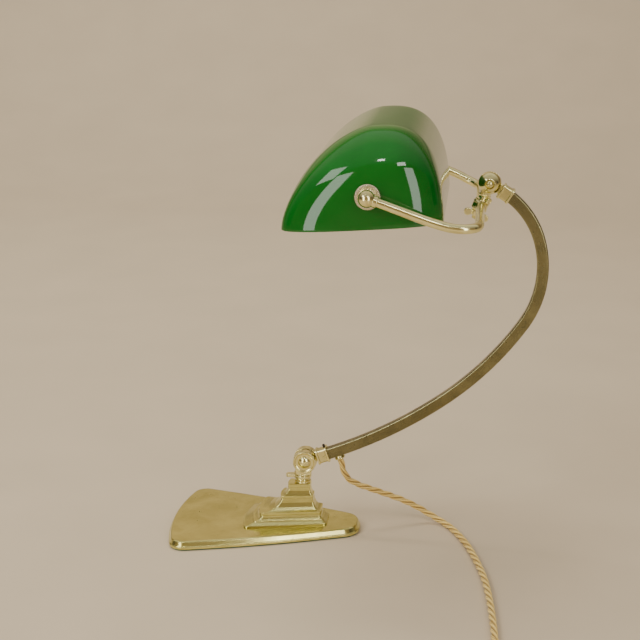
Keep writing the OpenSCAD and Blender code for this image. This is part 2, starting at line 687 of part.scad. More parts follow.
// ---- shade ----
rim_front = [29.8, 0, 308.2];
crest_u = 0.59 * shade_w;
// The flat end's height as a part of the crown's, and its centre and width across the shade
flat_v = 0.4;
flat_u = 0.1;
middle_u = 72;
half_u = 68;
front_power = 1.62;
rear_power = 2.85;
corner_power = 2.5;
arch_steps = 32;
end_steps = 9;

// The shade's cross-section, at an angle from the front rim (0) to the rear rim (180)
function arch(a, inset) =
    let (front = a < 90, half = (front ? crest_u : shade_w - crest_u) - inset,
        power = front ? front_power : rear_power, c = abs(cos(a)), s = sin(a))
    [crest_u - (front ? 1 : -1) * half * pow(c, 2 / power),
        (shade_h - inset) * pow(max(s, 0), 2 / power)];
// What is left of a size that curves in to a flat part, for a turn from 1 (full) to 0 (flat)
function kept(size, flat, inset, turn) =
    (flat * size + ((1 - flat) * size - inset) * turn) / (size - inset);
// Across the shade: y, and how much of its width and height the arch keeps there
function shade_station(k, inset) =
    let (straight = glass_end - crown_len, a = 90 * (1 - pow(1 - max(k - 1, 0) / end_steps, 1.5)),
        y = k <= 1 ? straight * k : straight + (crown_len - inset) * sin(a),
        past = min(max((y - glass_end + corner_len) / (corner_len - inset), 0), 1))
    [y, kept(half_u, flat_u, inset, pow(1 - pow(past, corner_power), 1 / corner_power)),
        kept(shade_h, flat_v, inset, cos(a))];
function shade_ring(side, station, inset) = [for (i = [0 : arch_steps])
    let (p = arch(180 * i / arch_steps, inset), u = middle_u + (p.x - middle_u) * station[1],
        v = p.y * station[2])
    [rim_front.x + u * cos(rim_rise) - v * sin(rim_rise), side * station[0],
        rim_front.z + u * sin(rim_rise) + v * cos(rim_rise)]];
stations = concat([for (k = [end_steps + 1 : -1 : 1]) -k], [for (k = [1 : end_steps + 1]) k]);
module shade_core(inset) {
    loft([for (k = stations) shade_ring(sign(k), shade_station(abs(k), inset), inset)]);
}
// Cuts the underside away so that the glass is open at its rim
module shade_layer(outer, inner) {
    difference() {
        shade_core(outer);
        shade_core(inner);
        translate(rim_front) rotate([0, -rim_rise, 0]) translate([-20, -150, -20])
            cube([200, 300, 20.6]);
    }
}
module bush_holes(r) {
    on_pivot() translate([0, 0, -150]) cylinder(h = 300, r = r);
}

module shade_glass() color("#1c7a35", 0.8) difference() {
    shade_layer(0, green_t);
    bush_holes(6.2);
}
module shade_lining() color("#f1f0e6") difference() {
    shade_layer(green_t, green_t + white_t);
    bush_holes(6.2);
}

bush_r = 5.9;
// Mirrors a turned piece to both ends of the shade, with local +Z pointing outwards
module both_ends() {
    for (side = [-1, 1]) translate([pivot.x, 0, pivot.z]) rotate([side * -90, 0, 0]) children();
}
module ring_piece(from_z, to_z, r, bore) {
    difference() {
        translate([0, 0, from_z]) cylinder(h = to_z - from_z, r = r);
        cylinder(h = 200, r = bore);
    }
}

module shade_bushes() color("#e6dcc0") both_ends() difference() {
    union() {
        translate([0, 0, glass_end - 10.2]) cylinder(h = bush_face - glass_end + 10.2, r = bush_r);
        translate([0, 0, glass_end + 0.9]) rotate_extrude() polygon([[0, 0], [10.8, 0], [10.8, 1.2],
            [10.2, 1.8], [0, 1.8]]);
    }
    cylinder(h = 200, r = nipple_r + 0.06);
}
module shade_gaskets() color("#3d2f24") both_ends() {
    ring_piece(glass_end + 0.05, glass_end + 0.85, 9.8, bush_r + 0.05);
    ring_piece(glass_end - 5.8, glass_end - 5, 9.6, bush_r + 0.05);
}
module shade_ring_nuts() color(brass) both_ends()
    ring_piece(glass_end - 9, glass_end - 5.9, 9.4, bush_r + 0.04);

// ---- cord ----
// The cord's route from the arm to the coil
cord_route = [[71.5, 0, 71.8], [73, 0, 66.5], [75, 1, 58], [79, 4, 50], [87, 8, 43.5], [98, 12, 38],
    [112, 17, 31.5], [128, 22, 24], [143, 25, 16], [156, 25, 8.5], [168, 19, 4], [177, 7, 3],
    [184, -8, 3], [191, -26, 3], [197, -46, 3], [203, -71, 3], [209, -102, 3], [213, -136, 3],
    [216, -176, 3], [218, -216, 3], [219, -255, 3], [219, -288, 3]];
drop_count = 11;
coil_centre = [180, -296];
coil_base = 0.6;
// The last quarter turn lies on top of the coil, between the two outer turns
lap_r = coil_r + cord_r;
lap_z = coil_base + 5 * cord_r;
tail_route = concat([for (i = [0 : 5]) [coil_centre.x + lap_r * cos(18 * i),
    coil_centre.y - lap_r * sin(18 * i), lap_z]],
    [[168, -332.6, 15.3], [156, -334.2, 14], [144, -336, 12.2]]);
plug_at = [144, -336, 12.2];
cord_colour = "#d99a2b";

module cord_drop() color(cord_colour)
    solid_tube(spline([for (i = [0 : drop_count]) cord_route[i]], 2), [0.5, 0.5, 0.7], cord_r, 10);
module cord_run() color(cord_colour) solid_tube(spline(
    [for (i = [drop_count : len(cord_route) - 1]) cord_route[i]], 2), [0, 0, 1], cord_r, 10);
module cord_tail() color(cord_colour)
    solid_tube(spline(tail_route, 2), [0, 0, 1], cord_r, 10);

module cord_coil() color(cord_colour) translate([coil_centre.x, coil_centre.y, coil_base])
    rotate_extrude() polygon([[coil_r - 3 * cord_r, 0], [coil_r + 3 * cord_r, 0],
        [coil_r + 3 * cord_r, 4 * cord_r], [coil_r - 3 * cord_r, 4 * cord_r]]);

module coil_tie() color("#4a3a2a") translate([coil_centre.x, coil_centre.y, 0])
    rotate([0, 0, 140]) translate([coil_r, 0, 0]) difference() {
        translate([-3 * cord_r - 1.3, -5, 0]) cube([6 * cord_r + 2, 10, 4 * cord_r + 1.3]);
        translate([-3 * cord_r - 0.7, -6, coil_base - 0.1])
            cube([6 * cord_r + 0.8, 12, 4 * cord_r + 0.2]);
    }

plug_r = 12;
pin_gap = 12.7;
module plug_body() color("#26160e") translate(plug_at) rotate([0, -90, 0]) difference() {
    rotate_extrude() polygon([[0, 0.1], [4.6, 0.1], [5.4, 3], [6, 8], [9, 10.4], [plug_r, 13],
        [plug_r, 24], [plug_r - 1, 25.6], [0, 25.6]]);
    for (side = [-1, 1]) translate([0, side * pin_gap / 2, 18]) cylinder(h = 20, r = 2.42);
}
module plug_pins() color(brass) translate(plug_at) rotate([0, -90, 0]) for (side = [-1, 1])
    translate([0, side * pin_gap / 2, 0]) rotate_extrude() polygon([[0, 18.2], [2.4, 18.2],
        [2.4, 42.6], [1.6, 44], [0, 44]]);

base_plate();
base_ballast();
base_felt();
base_screws();
pedestal();
pedestal_stud();
pedestal_nut();
pedestal_washer();
pedestal_collar();
neck_post();
lower_cheek();
lower_bolt();
lower_bolt_nut();
lower_friction_disc();
clamp_lever();
arm_tube();
arm_lower_cheek();
arm_lower_collar();
collar_screw();
cord_bushing();
arm_wire();
arm_upper_collar();
arm_upper_cheek();
head_cheek();
head_bolt();
head_bolt_nut();
head_friction_disc();
head_stud();
neck_screw();
wing_nut();
fork_hub();
fork_near_arm();
fork_far_arm();
fork_elbows();
pivot_nipples();
near_nipple_nut();
holder_cap();
holder_shell();
holder_insert();
holder_thread();
holder_contact();
switch_key();
bulb_cap();
bulb_glass();
bulb_stem();
bulb_filament();
shade_glass();
shade_lining();
shade_bushes();
shade_gaskets();
shade_ring_nuts();
cord_drop();
cord_run();
cord_tail();
cord_coil();
coil_tie();
plug_body();
plug_pins();
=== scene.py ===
"""Looks for an adjustable desk lamp with a green glass shade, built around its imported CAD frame.

Lengths are in millimetres until make() turns them into metres. +Z is up, +X runs to the lamp's rear
and -Y faces the camera.
"""

from math import acos, asin, atan2, copysign, cos, pi, radians, sin, sqrt, tan

import bmesh
import bpy
import numpy as np
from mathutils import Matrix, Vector


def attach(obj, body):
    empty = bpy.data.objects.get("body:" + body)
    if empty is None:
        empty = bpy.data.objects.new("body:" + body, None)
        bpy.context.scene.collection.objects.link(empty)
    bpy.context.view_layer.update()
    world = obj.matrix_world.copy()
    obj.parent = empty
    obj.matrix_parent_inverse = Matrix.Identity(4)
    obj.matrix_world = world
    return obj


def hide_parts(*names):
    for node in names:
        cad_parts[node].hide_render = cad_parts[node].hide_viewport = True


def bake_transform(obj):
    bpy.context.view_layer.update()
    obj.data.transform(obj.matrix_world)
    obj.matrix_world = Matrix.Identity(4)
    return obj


MM = 0.001
UP = (0, 0, 1)
RIGHT = (1, 0, 0)
NEAR = (0, -1, 0)
FAR = (0, 1, 0)

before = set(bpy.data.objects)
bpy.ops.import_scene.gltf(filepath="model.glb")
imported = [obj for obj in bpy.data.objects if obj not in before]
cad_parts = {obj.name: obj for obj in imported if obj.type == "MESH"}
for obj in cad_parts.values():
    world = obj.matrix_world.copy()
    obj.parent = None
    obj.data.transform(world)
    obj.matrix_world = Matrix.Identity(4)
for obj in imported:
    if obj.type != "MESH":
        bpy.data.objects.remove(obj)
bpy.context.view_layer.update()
scene = bpy.context.scene


# ---- camera: 6.5 degrees round from the front and 15 degrees above level ----
LENS, SENSOR = 81.2, 36
CAMERA_AT = (0.1977, -1.2764, 0.5502)
CAMERA_LOOKS = (-0.1093, 0.9597, -0.2588)


def make_camera():
    data = bpy.data.cameras.new("camera")
    data.sensor_width = SENSOR
    data.lens = LENS
    data.clip_end = 20
    camera = bpy.data.objects.new("camera", data)
    camera.location = CAMERA_AT
    camera.rotation_euler = Vector(CAMERA_LOOKS).to_track_quat("-Z", "Y").to_euler()
    scene.collection.objects.link(camera)
    scene.camera = camera


make_camera()


# ---- vectors and frames ----
def unit(v):
    v = np.asarray(v, float)
    return v / np.linalg.norm(v)


def placed(origin=(0, 0, 0), z_axis=UP, x_axis=RIGHT):
    """A frame with its origin, its z axis, and an x axis as near x_axis as fits."""
    z = unit(z_axis)
    x = np.asarray(x_axis, float)
    x = unit(x - z * (x @ z))
    m = np.eye(4)
    m[:3, 0], m[:3, 1], m[:3, 2], m[:3, 3] = x, np.cross(z, x), z, origin
    return m


def moved(points, at):
    return np.asarray(points, float) @ at[:3, :3].T + at[:3, 3]


def tilted(origin, angle):
    """A frame turned about Y so that its z axis leans towards +X by angle, in degrees."""
    a = radians(angle)
    return placed(origin, (sin(a), 0, cos(a)), (cos(a), 0, -sin(a)))


def shifted(at, offset):
    """A frame moved by an offset along its own axes."""
    m = at.copy()
    m[:3, 3] = at[:3, :3] @ np.array(offset, float) + at[:3, 3]
    return m


# ---- outlines ----
def rounded(points, radius, closed=True, steps=4):
    """Rounds the corners of an outline. radius is one number, or one for each corner."""
    points = [np.asarray(p, float) for p in points]
    n = len(points)
    radii = [radius] * n if np.isscalar(radius) else list(radius)
    out = []
    for i, b in enumerate(points):
        if not closed and i in (0, n - 1):
            out.append(b)
            continue
        a, c = points[i - 1], points[(i + 1) % n]
        to_a, to_c = a - b, c - b
        la, lc = np.linalg.norm(to_a), np.linalg.norm(to_c)
        bend = float(np.clip((to_a @ to_c) / max(la * lc, 1e-9), -1, 1))
        if radii[i] <= 0 or bend < -0.995 or bend > 0.999:
            out.append(b)
            continue
        half = acos(bend) / 2
        reach = min(radii[i] / tan(half), 0.45 * la, 0.45 * lc)
        p, q = b + to_a / la * reach, b + to_c / lc * reach
        for k in range(steps + 1):
            t = k / steps
            out.append((1 - t) ** 2 * p + 2 * t * (1 - t) * b + t * t * q)
    return np.array(out)


def corner_arc(a, b, c, inset, steps):
    """The arc that rounds corner b, whose third number is its radius, moved inwards by inset."""
    a, c, point = np.array(a[:2]), np.array(c[:2]), np.array(b[:2], float)
    u, v = unit(a - point), unit(c - point)
    half = acos(float(np.clip(u @ v, -1, 1))) / 2
    reach = b[2] / tan(half)
    centre = point + unit(u + v) * b[2] / sin(half)
    start, end = point + u * reach - centre, point + v * reach - centre
    first = atan2(start[1], start[0])
    swing = (atan2(end[1], end[0]) - first + pi) % (2 * pi) - pi
    turns = [first + swing * k / steps for k in range(steps + 1)]
    return [centre + (b[2] - inset) * np.array([cos(t), sin(t)]) for t in turns]


def outline(corners, inset=0.0, steps=14):
    """The plan through corners of x, y and rounding radius, moved inwards by inset."""
    n = len(corners)
    found = []
    for i in range(n):
        found += corner_arc(corners[i - 1], corners[i], corners[(i + 1) % n], inset, steps)
    return np.array(found)


def round_rect(half_x, half_y, radius, steps=5):
    signs = ((-1, -1), (1, -1), (1, 1), (-1, 1))
    return outline([[x * half_x, y * half_y, radius] for x, y in signs], 0, steps)


def circle(radius, segments=72):
    turn = np.arange(segments) * 2 * pi / segments
    return np.stack([radius * np.cos(turn), radius * np.sin(turn)], 1)


def arc(x, y, radius, turns):
    """Points on the circle round x, y at these turns, in radians."""
    return [(x + radius * cos(t), y + radius * sin(t)) for t in turns]


# ---- surfaces: each gives (points, faces) ----
def grid(rings, around=True, along=False, caps=True):
    """Joins rings of equally many points. around closes each ring, and along joins the last ring
    to the first."""
    rings = [np.asarray(r, float) for r in rings]
    n, m = len(rings[0]), len(rings)
    faces = []
    for k in range(m if along else m - 1):
        for i in range(n if around else n - 1):
            j, up = (i + 1) % n, (k + 1) % m
            faces.append((k * n + i, k * n + j, up * n + j, up * n + i))
    if caps and not along:
        faces += [tuple(range(n - 1, -1, -1)), tuple((m - 1) * n + i for i in range(n))]
    return np.concatenate(rings), faces


def joined(*parts):
    points, faces, base = [], [], 0
    for p, f in parts:
        points.append(np.asarray(p, float))
        faces += [tuple(i + base for i in face) for face in f]
        base += len(p)
    return np.concatenate(points), faces


def lathe(profile, at=None, fillet=0.25, segments=72, knurl=None):
    """Turns (radius, height) points round z. A profile that starts and ends on the axis makes a
    solid turning, any other one a ring. knurl is (teeth, depth, lowest, highest)."""
    solid = profile[0][0] == 0 and profile[-1][0] == 0
    line = rounded(profile, fillet, closed=not solid)
    rings = []
    for r, z in line:
        ring = circle(max(r, 1e-4), segments)
        if knurl and knurl[2] <= z <= knurl[3]:
            teeth = np.arange(segments) * 2 * pi / segments * knurl[0]
            ring = ring * (1 - knurl[1] * (0.5 + 0.5 * np.cos(teeth)))[:, None]
        rings.append(np.column_stack([ring, np.full(segments, z)]))
    points, faces = grid(rings, along=not solid, caps=False)
    return moved(points, placed() if at is None else at), faces


def loft_up(levels):
    """A solid through flat outlines: levels are (outline, z) from the bottom."""
    return grid([np.column_stack([o, np.full(len(o), z)]) for o, z in levels])


def softened(part, width, segments=3, angle=30):
    """Bevels the sharp edges of a part."""
    mesh = bpy.data.meshes.new("soften")
    mesh.from_pydata([tuple(p) for p in part[0]], [], part[1])
    bm = bmesh.new()
    bm.from_mesh(mesh)
    bmesh.ops.recalc_face_normals(bm, faces=bm.faces)
    sharp = [e for e in bm.edges if len(e.link_faces) == 2 and e.calc_face_angle(0) > radians(angle)]
    bmesh.ops.bevel(bm, geom=sharp, offset=width, offset_type="OFFSET", segments=segments, profile=0.5,
                    affect="EDGES", clamp_overlap=True)
    points = np.array([v.co for v in bm.verts], float)
    faces = [tuple(v.index for v in f.verts) for f in bm.faces]
    bm.free()
    bpy.data.meshes.remove(mesh)
    return points, faces


def prism(shape, low, high, at=None, soft=0.3):
    part = softened(loft_up([(shape, low), (shape, high)]), soft)
    return moved(part[0], placed() if at is None else at), part[1]


def block(low, high, at=None, soft=0.4):
    shape = [(low[0], low[1]), (high[0], low[1]), (high[0], high[1]), (low[0], high[1])]
    return prism(np.array(shape, float), low[2], high[2], at, soft)


def hexagon(radius):
    return circle(radius, 6)


def swept(path, section, up, closed_ends=True):
    """Carries a section (side, top) along a path, with its top side towards up."""
    path = np.asarray(path, float)
    heads = np.gradient(path, axis=0)
    rings = []
    for p, h in zip(path, heads):
        h = unit(h)
        side = unit(np.cross(h, up))
        top = np.cross(side, h)
        rings.append(p + section[:, :1] * side + section[:, 1:] * top)
    return grid(rings, caps=closed_ends)


def hollow(outer, inner, ring):
    """A hollow bar from an outer and an inner skin with the same rings, both open at the ends."""
    count = len(outer[0])
    points, faces = joined(outer, inner)
    for first in (0, count - ring):
        for i in range(ring):
            j = (i + 1) % ring
            faces.append((first + i, first + j, first + count + j, first + count + i))
    return points, faces


def spline(points, steps):
    """A smooth curve through the points."""
    p = np.asarray(points, float)
    out = []
    for i in range(len(p) - 1):
        a, b, c, d = p[max(i - 1, 0)], p[i], p[i + 1], p[min(i + 2, len(p) - 1)]
        for k in range(steps):
            t = k / steps
            square, cube = 2 * a - 5 * b + 4 * c - d, 3 * b - a - 3 * c + d
            out.append(0.5 * (2 * b + (c - a) * t + square * t * t + cube * t ** 3))
    return np.array(out + [p[-1]])


def evenly(path, step):
    """The same path with its points a step apart."""
    gone = np.concatenate([[0], np.cumsum(np.linalg.norm(np.diff(path, axis=0), axis=1))])
    count = max(2, round(gone[-1] / step) + 1)
    at = np.linspace(0, gone[-1], count)
    return np.stack([np.interp(at, gone, path[:, k]) for k in range(3)], 1), gone[-1]


# ---- objects ----
# angles in degrees: faces that meet more sharply than this get a hard edge in the shading
SHARP = 38
# the mean turn of the surface round a point, in radians, that counts as a full edge
FULL_EDGE = 0.35


def new_object(name, points, faces):
    """An object in the scene with a mesh of its own, in metres."""
    mesh = bpy.data.meshes.new(name)
    mesh.from_pydata([tuple(p) for p in points], [], faces)
    obj = bpy.data.objects.new(name, mesh)
    scene.collection.objects.link(obj)
    return obj


def make(name, part, body, look, stands_for=(), sharp=SHARP):
    """A finished piece: a mesh with smooth shading, worn-edge values, a material and a body."""
    obj = new_object(name, np.asarray(part[0]) * MM, part[1])
    mesh = obj.data
    bm = bmesh.new()
    bm.from_mesh(mesh)
    bmesh.ops.remove_doubles(bm, verts=bm.verts, dist=1e-6)
    bmesh.ops.dissolve_degenerate(bm, edges=bm.edges, dist=1e-7)
    bmesh.ops.recalc_face_normals(bm, faces=bm.faces)
    bm.to_mesh(mesh)
    bm.free()
    finish_mesh(obj, sharp)
    mesh.materials.append(look)
    if stands_for:
        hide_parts(*stands_for)
    if body:
        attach(obj, body)
    return obj


def set_grain(obj, values):
    """Stores a vector at each point, which the brushed and braided materials follow."""
    grain = obj.data.attributes.new("grain", "FLOAT_VECTOR", "POINT")
    grain.data.foreach_set("vector", np.array(values, np.float32).ravel())


def in_brass(name, part, body, *stands_for):
    return make(name, part, body, brass, stands_for)


def finish_mesh(obj, sharp=SHARP):
    """Shades smoothly up to sharp edges, and stores how convex each point is, for worn edges."""
    mesh = obj.data
    bm = bmesh.new()
    bm.from_mesh(mesh)
    values = [sum(e.calc_face_angle_signed(0) for e in v.link_edges) / max(len(v.link_edges), 1)
              for v in bm.verts]
    bm.free()
    edge = mesh.attributes.get("edge") or mesh.attributes.new("edge", "FLOAT", "POINT")
    edge.data.foreach_set("value", np.clip(np.array(values, np.float32) / FULL_EDGE, -1, 1))
    mesh.shade_smooth()
    mesh.set_sharp_from_angle(angle=radians(sharp))
    if "normals" not in obj.modifiers:
        weighted = obj.modifiers.new("normals", "WEIGHTED_NORMAL")
        weighted.keep_sharp = True


def cut(obj, *parts):
    """Takes solid parts away from a piece."""
    for part in parts:
        cutter = new_object("cutter", np.asarray(part[0]) * MM, part[1])
        bm = bmesh.new()
        bm.from_mesh(cutter.data)
        bmesh.ops.recalc_face_normals(bm, faces=bm.faces)
        bm.to_mesh(cutter.data)
        bm.free()
        tool = obj.modifiers.new("cut", "BOOLEAN")
        tool.operation = "DIFFERENCE"
        tool.solver = "EXACT"
        tool.object = cutter
        for other in obj.modifiers:
            other.show_viewport = other.name == "cut"
        graph = bpy.context.evaluated_depsgraph_get()
        mesh = bpy.data.meshes.new_from_object(obj.evaluated_get(graph))
        obj.modifiers.remove(tool)
        for other in obj.modifiers:
            other.show_viewport = True
        looks = list(obj.data.materials)
        obj.data = mesh
        mesh.name = obj.name
        mesh.materials.clear()
        for look in looks:
            mesh.materials.append(look)
        bpy.data.objects.remove(cutter)
    finish_mesh(obj)
    return obj


# ---- materials ----
def node(tree, kind, inputs=None, **settings):
    """A new node. inputs has a plain value or another node's output for a socket's name or place."""
    made = tree.nodes.new("ShaderNode" + kind)
    for name, value in settings.items():
        setattr(made, name, value)
    for name, value in (inputs or {}).items():
        if isinstance(value, bpy.types.NodeSocket):
            tree.links.new(value, made.inputs[name])
        else:
            made.inputs[name].default_value = value
    return made


def shader(name, **values):
    """A new material and its node tree, with plain values on the shader's sockets."""
    look = bpy.data.materials.new(name)
    look.use_nodes = True
    principled = look.node_tree.nodes["Principled BSDF"]
    for key, value in values.items():
        principled.inputs[key.replace("_", " ")].default_value = value
    return look, look.node_tree


def wired(look, colour, rough=None, normal=None):
    """The material, with these outputs on its shader's sockets."""
    principled = look.node_tree.nodes["Principled BSDF"]
    for socket, value in (("Base Color", colour), ("Roughness", rough), ("Normal", normal)):
        if value is not None:
            look.node_tree.links.new(value, principled.inputs[socket])
    return look


def noise(tree, scale, detail=3.0, rough=0.5, stretch=(1, 1, 1), attribute=None, distortion=0.0):
    """Noise over the object's own coordinates, or over a vector stored in its mesh."""
    if attribute:
        source = node(tree, "Attribute", attribute_name=attribute).outputs["Vector"]
    else:
        source = node(tree, "TexCoord").outputs["Object"]
    spread = node(tree, "Mapping", {"Vector": source, "Scale": stretch})
    made = node(tree, "TexNoise", {"Vector": spread.outputs[0], "Scale": scale, "Detail": detail,
                                   "Roughness": rough, "Distortion": distortion})
    return made.outputs["Fac"]


def ramp(tree, value, *stops):
    made = node(tree, "ValToRGB", {"Fac": value})
    elements = made.color_ramp.elements
    while len(elements) < len(stops):
        elements.new(0.5)
    for element, (place, colour) in zip(elements, stops):
        element.position = place
        element.color = (*colour, 1) if len(colour) == 3 else colour
    return made.outputs["Color"]


def blend_colour(tree, factor, a, b, mode="MIX"):
    a, b = ((*c, 1) if isinstance(c, tuple) and len(c) == 3 else c for c in (a, b))
    made = node(tree, "Mix", {0: factor, 6: a, 7: b}, data_type="RGBA", blend_type=mode)
    return made.outputs[2]


def spread_to(tree, value, low, high, to_low=0, to_high=1):
    made = node(tree, "MapRange", {"Value": value, "From Min": low, "From Max": high,
                                   "To Min": to_low, "To Max": to_high})
    return made.outputs[0]


def combine(tree, operation, a, b=0.0):
    return node(tree, "Math", {0: a, 1: b}, operation=operation).outputs[0]


def times(tree, a, b):
    return combine(tree, "MULTIPLY", a, b)


def bump(tree, height, distance, strength=1.0, normal=None):
    inputs = {"Height": height, "Distance": distance, "Strength": strength}
    if normal is not None:
        inputs["Normal"] = normal
    return node(tree, "Bump", inputs).outputs["Normal"]


def worn(tree):
    """How much an edge is worn bright (first) and how much a recess holds dirt (second)."""
    edge = node(tree, "Attribute", attribute_name="edge").outputs["Fac"]
    broken = noise(tree, 900, 3, 0.6)
    bright = times(tree, spread_to(tree, edge, 0.15, 0.7), spread_to(tree, broken, 0.3, 0.6, 0.4))
    dirt = times(tree, spread_to(tree, edge, -0.1, -0.6), spread_to(tree, broken, 0.3, 0.7, 0.5))
    return bright, dirt


def brass_look(name, colour, tarnish, spots, rough, brushed=None, amount=1.0):
    """Polished brass: cloudy tarnish, small spots, fine scratches, bright edges and dark recesses."""
    look, tree = shader(name, Metallic=1.0, Specular_IOR_Level=0.5)
    clouds = noise(tree, 38, 5, 0.6, distortion=0.4)
    mottle = noise(tree, 310, 4, 0.65)
    cloudy = spread_to(tree, clouds, 0.36, 0.68, 0.0, amount)
    specks = spread_to(tree, mottle, 0.6, 0.74, 0.0, 0.6 * amount)
    bright, dirt = worn(tree)
    tone = blend_colour(tree, cloudy, colour, tarnish)
    tone = blend_colour(tree, specks, tone, spots)
    tone = blend_colour(tree, times(tree, dirt, 0.7), tone, spots)
    shine = tuple(min(1, c * 1.12) for c in colour)
    tone = blend_colour(tree, times(tree, bright, 0.75), tone, shine)
    if brushed:
        scratch = noise(tree, 1.0, 4, 0.7, brushed, "grain")
        depth = 0.00004
    else:
        scratch = noise(tree, 1500, 4, 0.75, (1, 0.25, 1), distortion=0.3)
        depth = 0.000006
    matt = spread_to(tree, clouds, 0.35, 0.7, rough, rough + 0.1 * amount)
    matt = combine(tree, "ADD", matt, spread_to(tree, scratch, 0.3, 0.7, -0.03, 0.05))
    matt = combine(tree, "ADD", matt, times(tree, specks, 0.25))
    matt = combine(tree, "SUBTRACT", matt, times(tree, bright, 0.04))
    waves = bump(tree, noise(tree, 70, 2, 0.4), 0.00012, 0.35)
    return wired(look, tone, matt, bump(tree, scratch, depth, 0.5, waves))


def plain_look(name, colour, second, scale, rough, relief=0.00002, stretch=(1, 1, 1), **values):
    """A material of two mixed tones with its own roughness and bump."""
    look, tree = shader(name, **values)
    pattern = noise(tree, scale, 4, 0.6, stretch)
    fine = noise(tree, scale * 6, 3, 0.6, stretch)
    return wired(look, ramp(tree, pattern, (0.3, colour), (0.7, second)),
                 spread_to(tree, fine, 0.3, 0.7, rough - 0.05, rough + 0.07),
                 bump(tree, fine, relief, 0.6))


def green_glass_look():
    """Cased glass: deep green under a clear, faintly wavy surface."""
    look, tree = shader("green_glass", IOR=1.5, Specular_IOR_Level=0.5)
    flow = noise(tree, 14, 3, 0.5, (1, 0.35, 1), distortion=0.6)
    seeds = noise(tree, 1300, 2, 0.4)
    tone = ramp(tree, flow, (0.3, (0.002, 0.088, 0.006)), (0.72, (0.004, 0.13, 0.011)))
    tone = blend_colour(tree, spread_to(tree, seeds, 0.7, 0.8, 0, 0.25), tone, (0.03, 0.26, 0.06))
    waves = bump(tree, noise(tree, 26, 2, 0.35, (1, 0.5, 1)), 0.0006, 0.25)
    return wired(look, tone, spread_to(tree, flow, 0.3, 0.7, 0.03, 0.07), waves)


def opal_look():
    """White glass, slightly translucent under a clear coat."""
    look, tree = shader("opal_glass", IOR=1.5, Coat_Weight=0.6, Coat_Roughness=0.05,
                        Subsurface_Weight=0.25, Subsurface_Radius=(0.004, 0.004, 0.0035),
                        Subsurface_Scale=1.0)
    flow = noise(tree, 18, 3, 0.5, (1, 0.4, 1))
    tone = ramp(tree, flow, (0.3, (0.8, 0.79, 0.74)), (0.7, (0.88, 0.87, 0.83)))
    return wired(look, tone, spread_to(tree, flow, 0.3, 0.7, 0.16, 0.24),
                 bump(tree, noise(tree, 40, 2, 0.4), 0.0004, 0.2))


def silk_look():
    """Braided silk over each strand of the cord: the grain runs at a slant round the strand, with painted
    shade on the side that faces its neighbours.
    """
    look, tree = shader("silk_cord", Sheen_Weight=0.6, Sheen_Roughness=0.35,
                        Sheen_Tint=(1.0, 0.8, 0.45, 1), Specular_IOR_Level=0.35)
    place = node(tree, "Attribute", attribute_name="grain").outputs["Vector"]
    length, turn = node(tree, "SeparateXYZ", {"Vector": place}).outputs[:2]
    threads = []
    for lean in (6.0, -6.0):
        slant = combine(tree, "ADD", times(tree, length, 5200.0), times(tree, turn, lean))
        threads.append(combine(tree, "ABSOLUTE", combine(tree, "SINE", slant)))
    weave = combine(tree, "MAXIMUM", threads[0], threads[1])
    soiled = noise(tree, 45, 4, 0.6)
    tone = ramp(tree, weave, (0.3, (0.6, 0.36, 0.07)), (0.9, (1.0, 0.78, 0.27)))
    tone = blend_colour(tree, spread_to(tree, soiled, 0.35, 0.75, 0, 0.45), tone, (0.72, 0.45, 0.1))
    # painted shade: the strand's side that faces its neighbours is darkened as if it lay in shade
    painted_shade_side = spread_to(tree, combine(tree, "COSINE", turn), 0.7, -0.2, 0, 0.85)
    tone = blend_colour(tree, painted_shade_side, tone, (0.28, 0.14, 0.025))
    return wired(look, tone, spread_to(tree, soiled, 0.3, 0.7, 0.42, 0.6),
                 bump(tree, weave, 0.0002, 0.8))


def felt_look():
    """Green felt, rubbed paler in patches."""
    look, tree = shader("felt", Sheen_Weight=0.5, Sheen_Roughness=0.6, Roughness=0.95,
                        Specular_IOR_Level=0.1)
    fibres = noise(tree, 1400, 5, 0.8, distortion=1.5)
    rubbed = spread_to(tree, noise(tree, 30, 3, 0.6), 0.5, 0.8, 0, 0.4)
    tone = ramp(tree, fibres, (0.25, (0.008, 0.05, 0.022)), (0.75, (0.03, 0.13, 0.06)))
    tone = blend_colour(tree, rubbed, tone, (0.06, 0.11, 0.06))
    return wired(look, tone, normal=bump(tree, fibres, 0.0003, 0.9))


# colour, tarnish and spots, then roughness
brass = brass_look("brass", (0.91, 0.85, 0.45), (0.74, 0.66, 0.3), (0.33, 0.29, 0.11), 0.12)
base_brass = brass_look("base_brass", (0.79, 0.74, 0.29), (0.6, 0.55, 0.18), (0.32, 0.29, 0.08), 0.15,
                        amount=0.9)
arm_brass = brass_look("arm_brass", (0.27, 0.245, 0.125), (0.175, 0.155, 0.075), (0.09, 0.08, 0.04), 0.2,
                       brushed=(60, 3200, 3200), amount=1.1)
# two tones, the size of their pattern, roughness and relief
steel = plain_look("steel", (0.5, 0.5, 0.5), (0.36, 0.35, 0.34), 500, 0.3, Metallic=1.0)
dark_steel = plain_look("dark_steel", (0.035, 0.03, 0.026), (0.09, 0.075, 0.06), 700, 0.38,
                        Metallic=1.0)
iron = plain_look("iron", (0.05, 0.05, 0.052), (0.12, 0.11, 0.1), 350, 0.7, 0.0002, Metallic=0.6)
fibre = plain_look("fibre", (0.1, 0.055, 0.028), (0.17, 0.1, 0.05), 1200, 0.7, 0.0001)
porcelain = plain_look("porcelain", (0.78, 0.75, 0.67), (0.85, 0.83, 0.77), 90, 0.18, 0.00003,
                       Coat_Weight=0.8, Coat_Roughness=0.05)
bakelite = plain_look("bakelite", (0.018, 0.009, 0.006), (0.05, 0.022, 0.013), 130, 0.22, 0.00001,
                      Coat_Weight=0.5, Coat_Roughness=0.08)
pale = plain_look("pale_washer", (0.78, 0.68, 0.46), (0.88, 0.82, 0.66), 240, 0.24, Metallic=0.9)
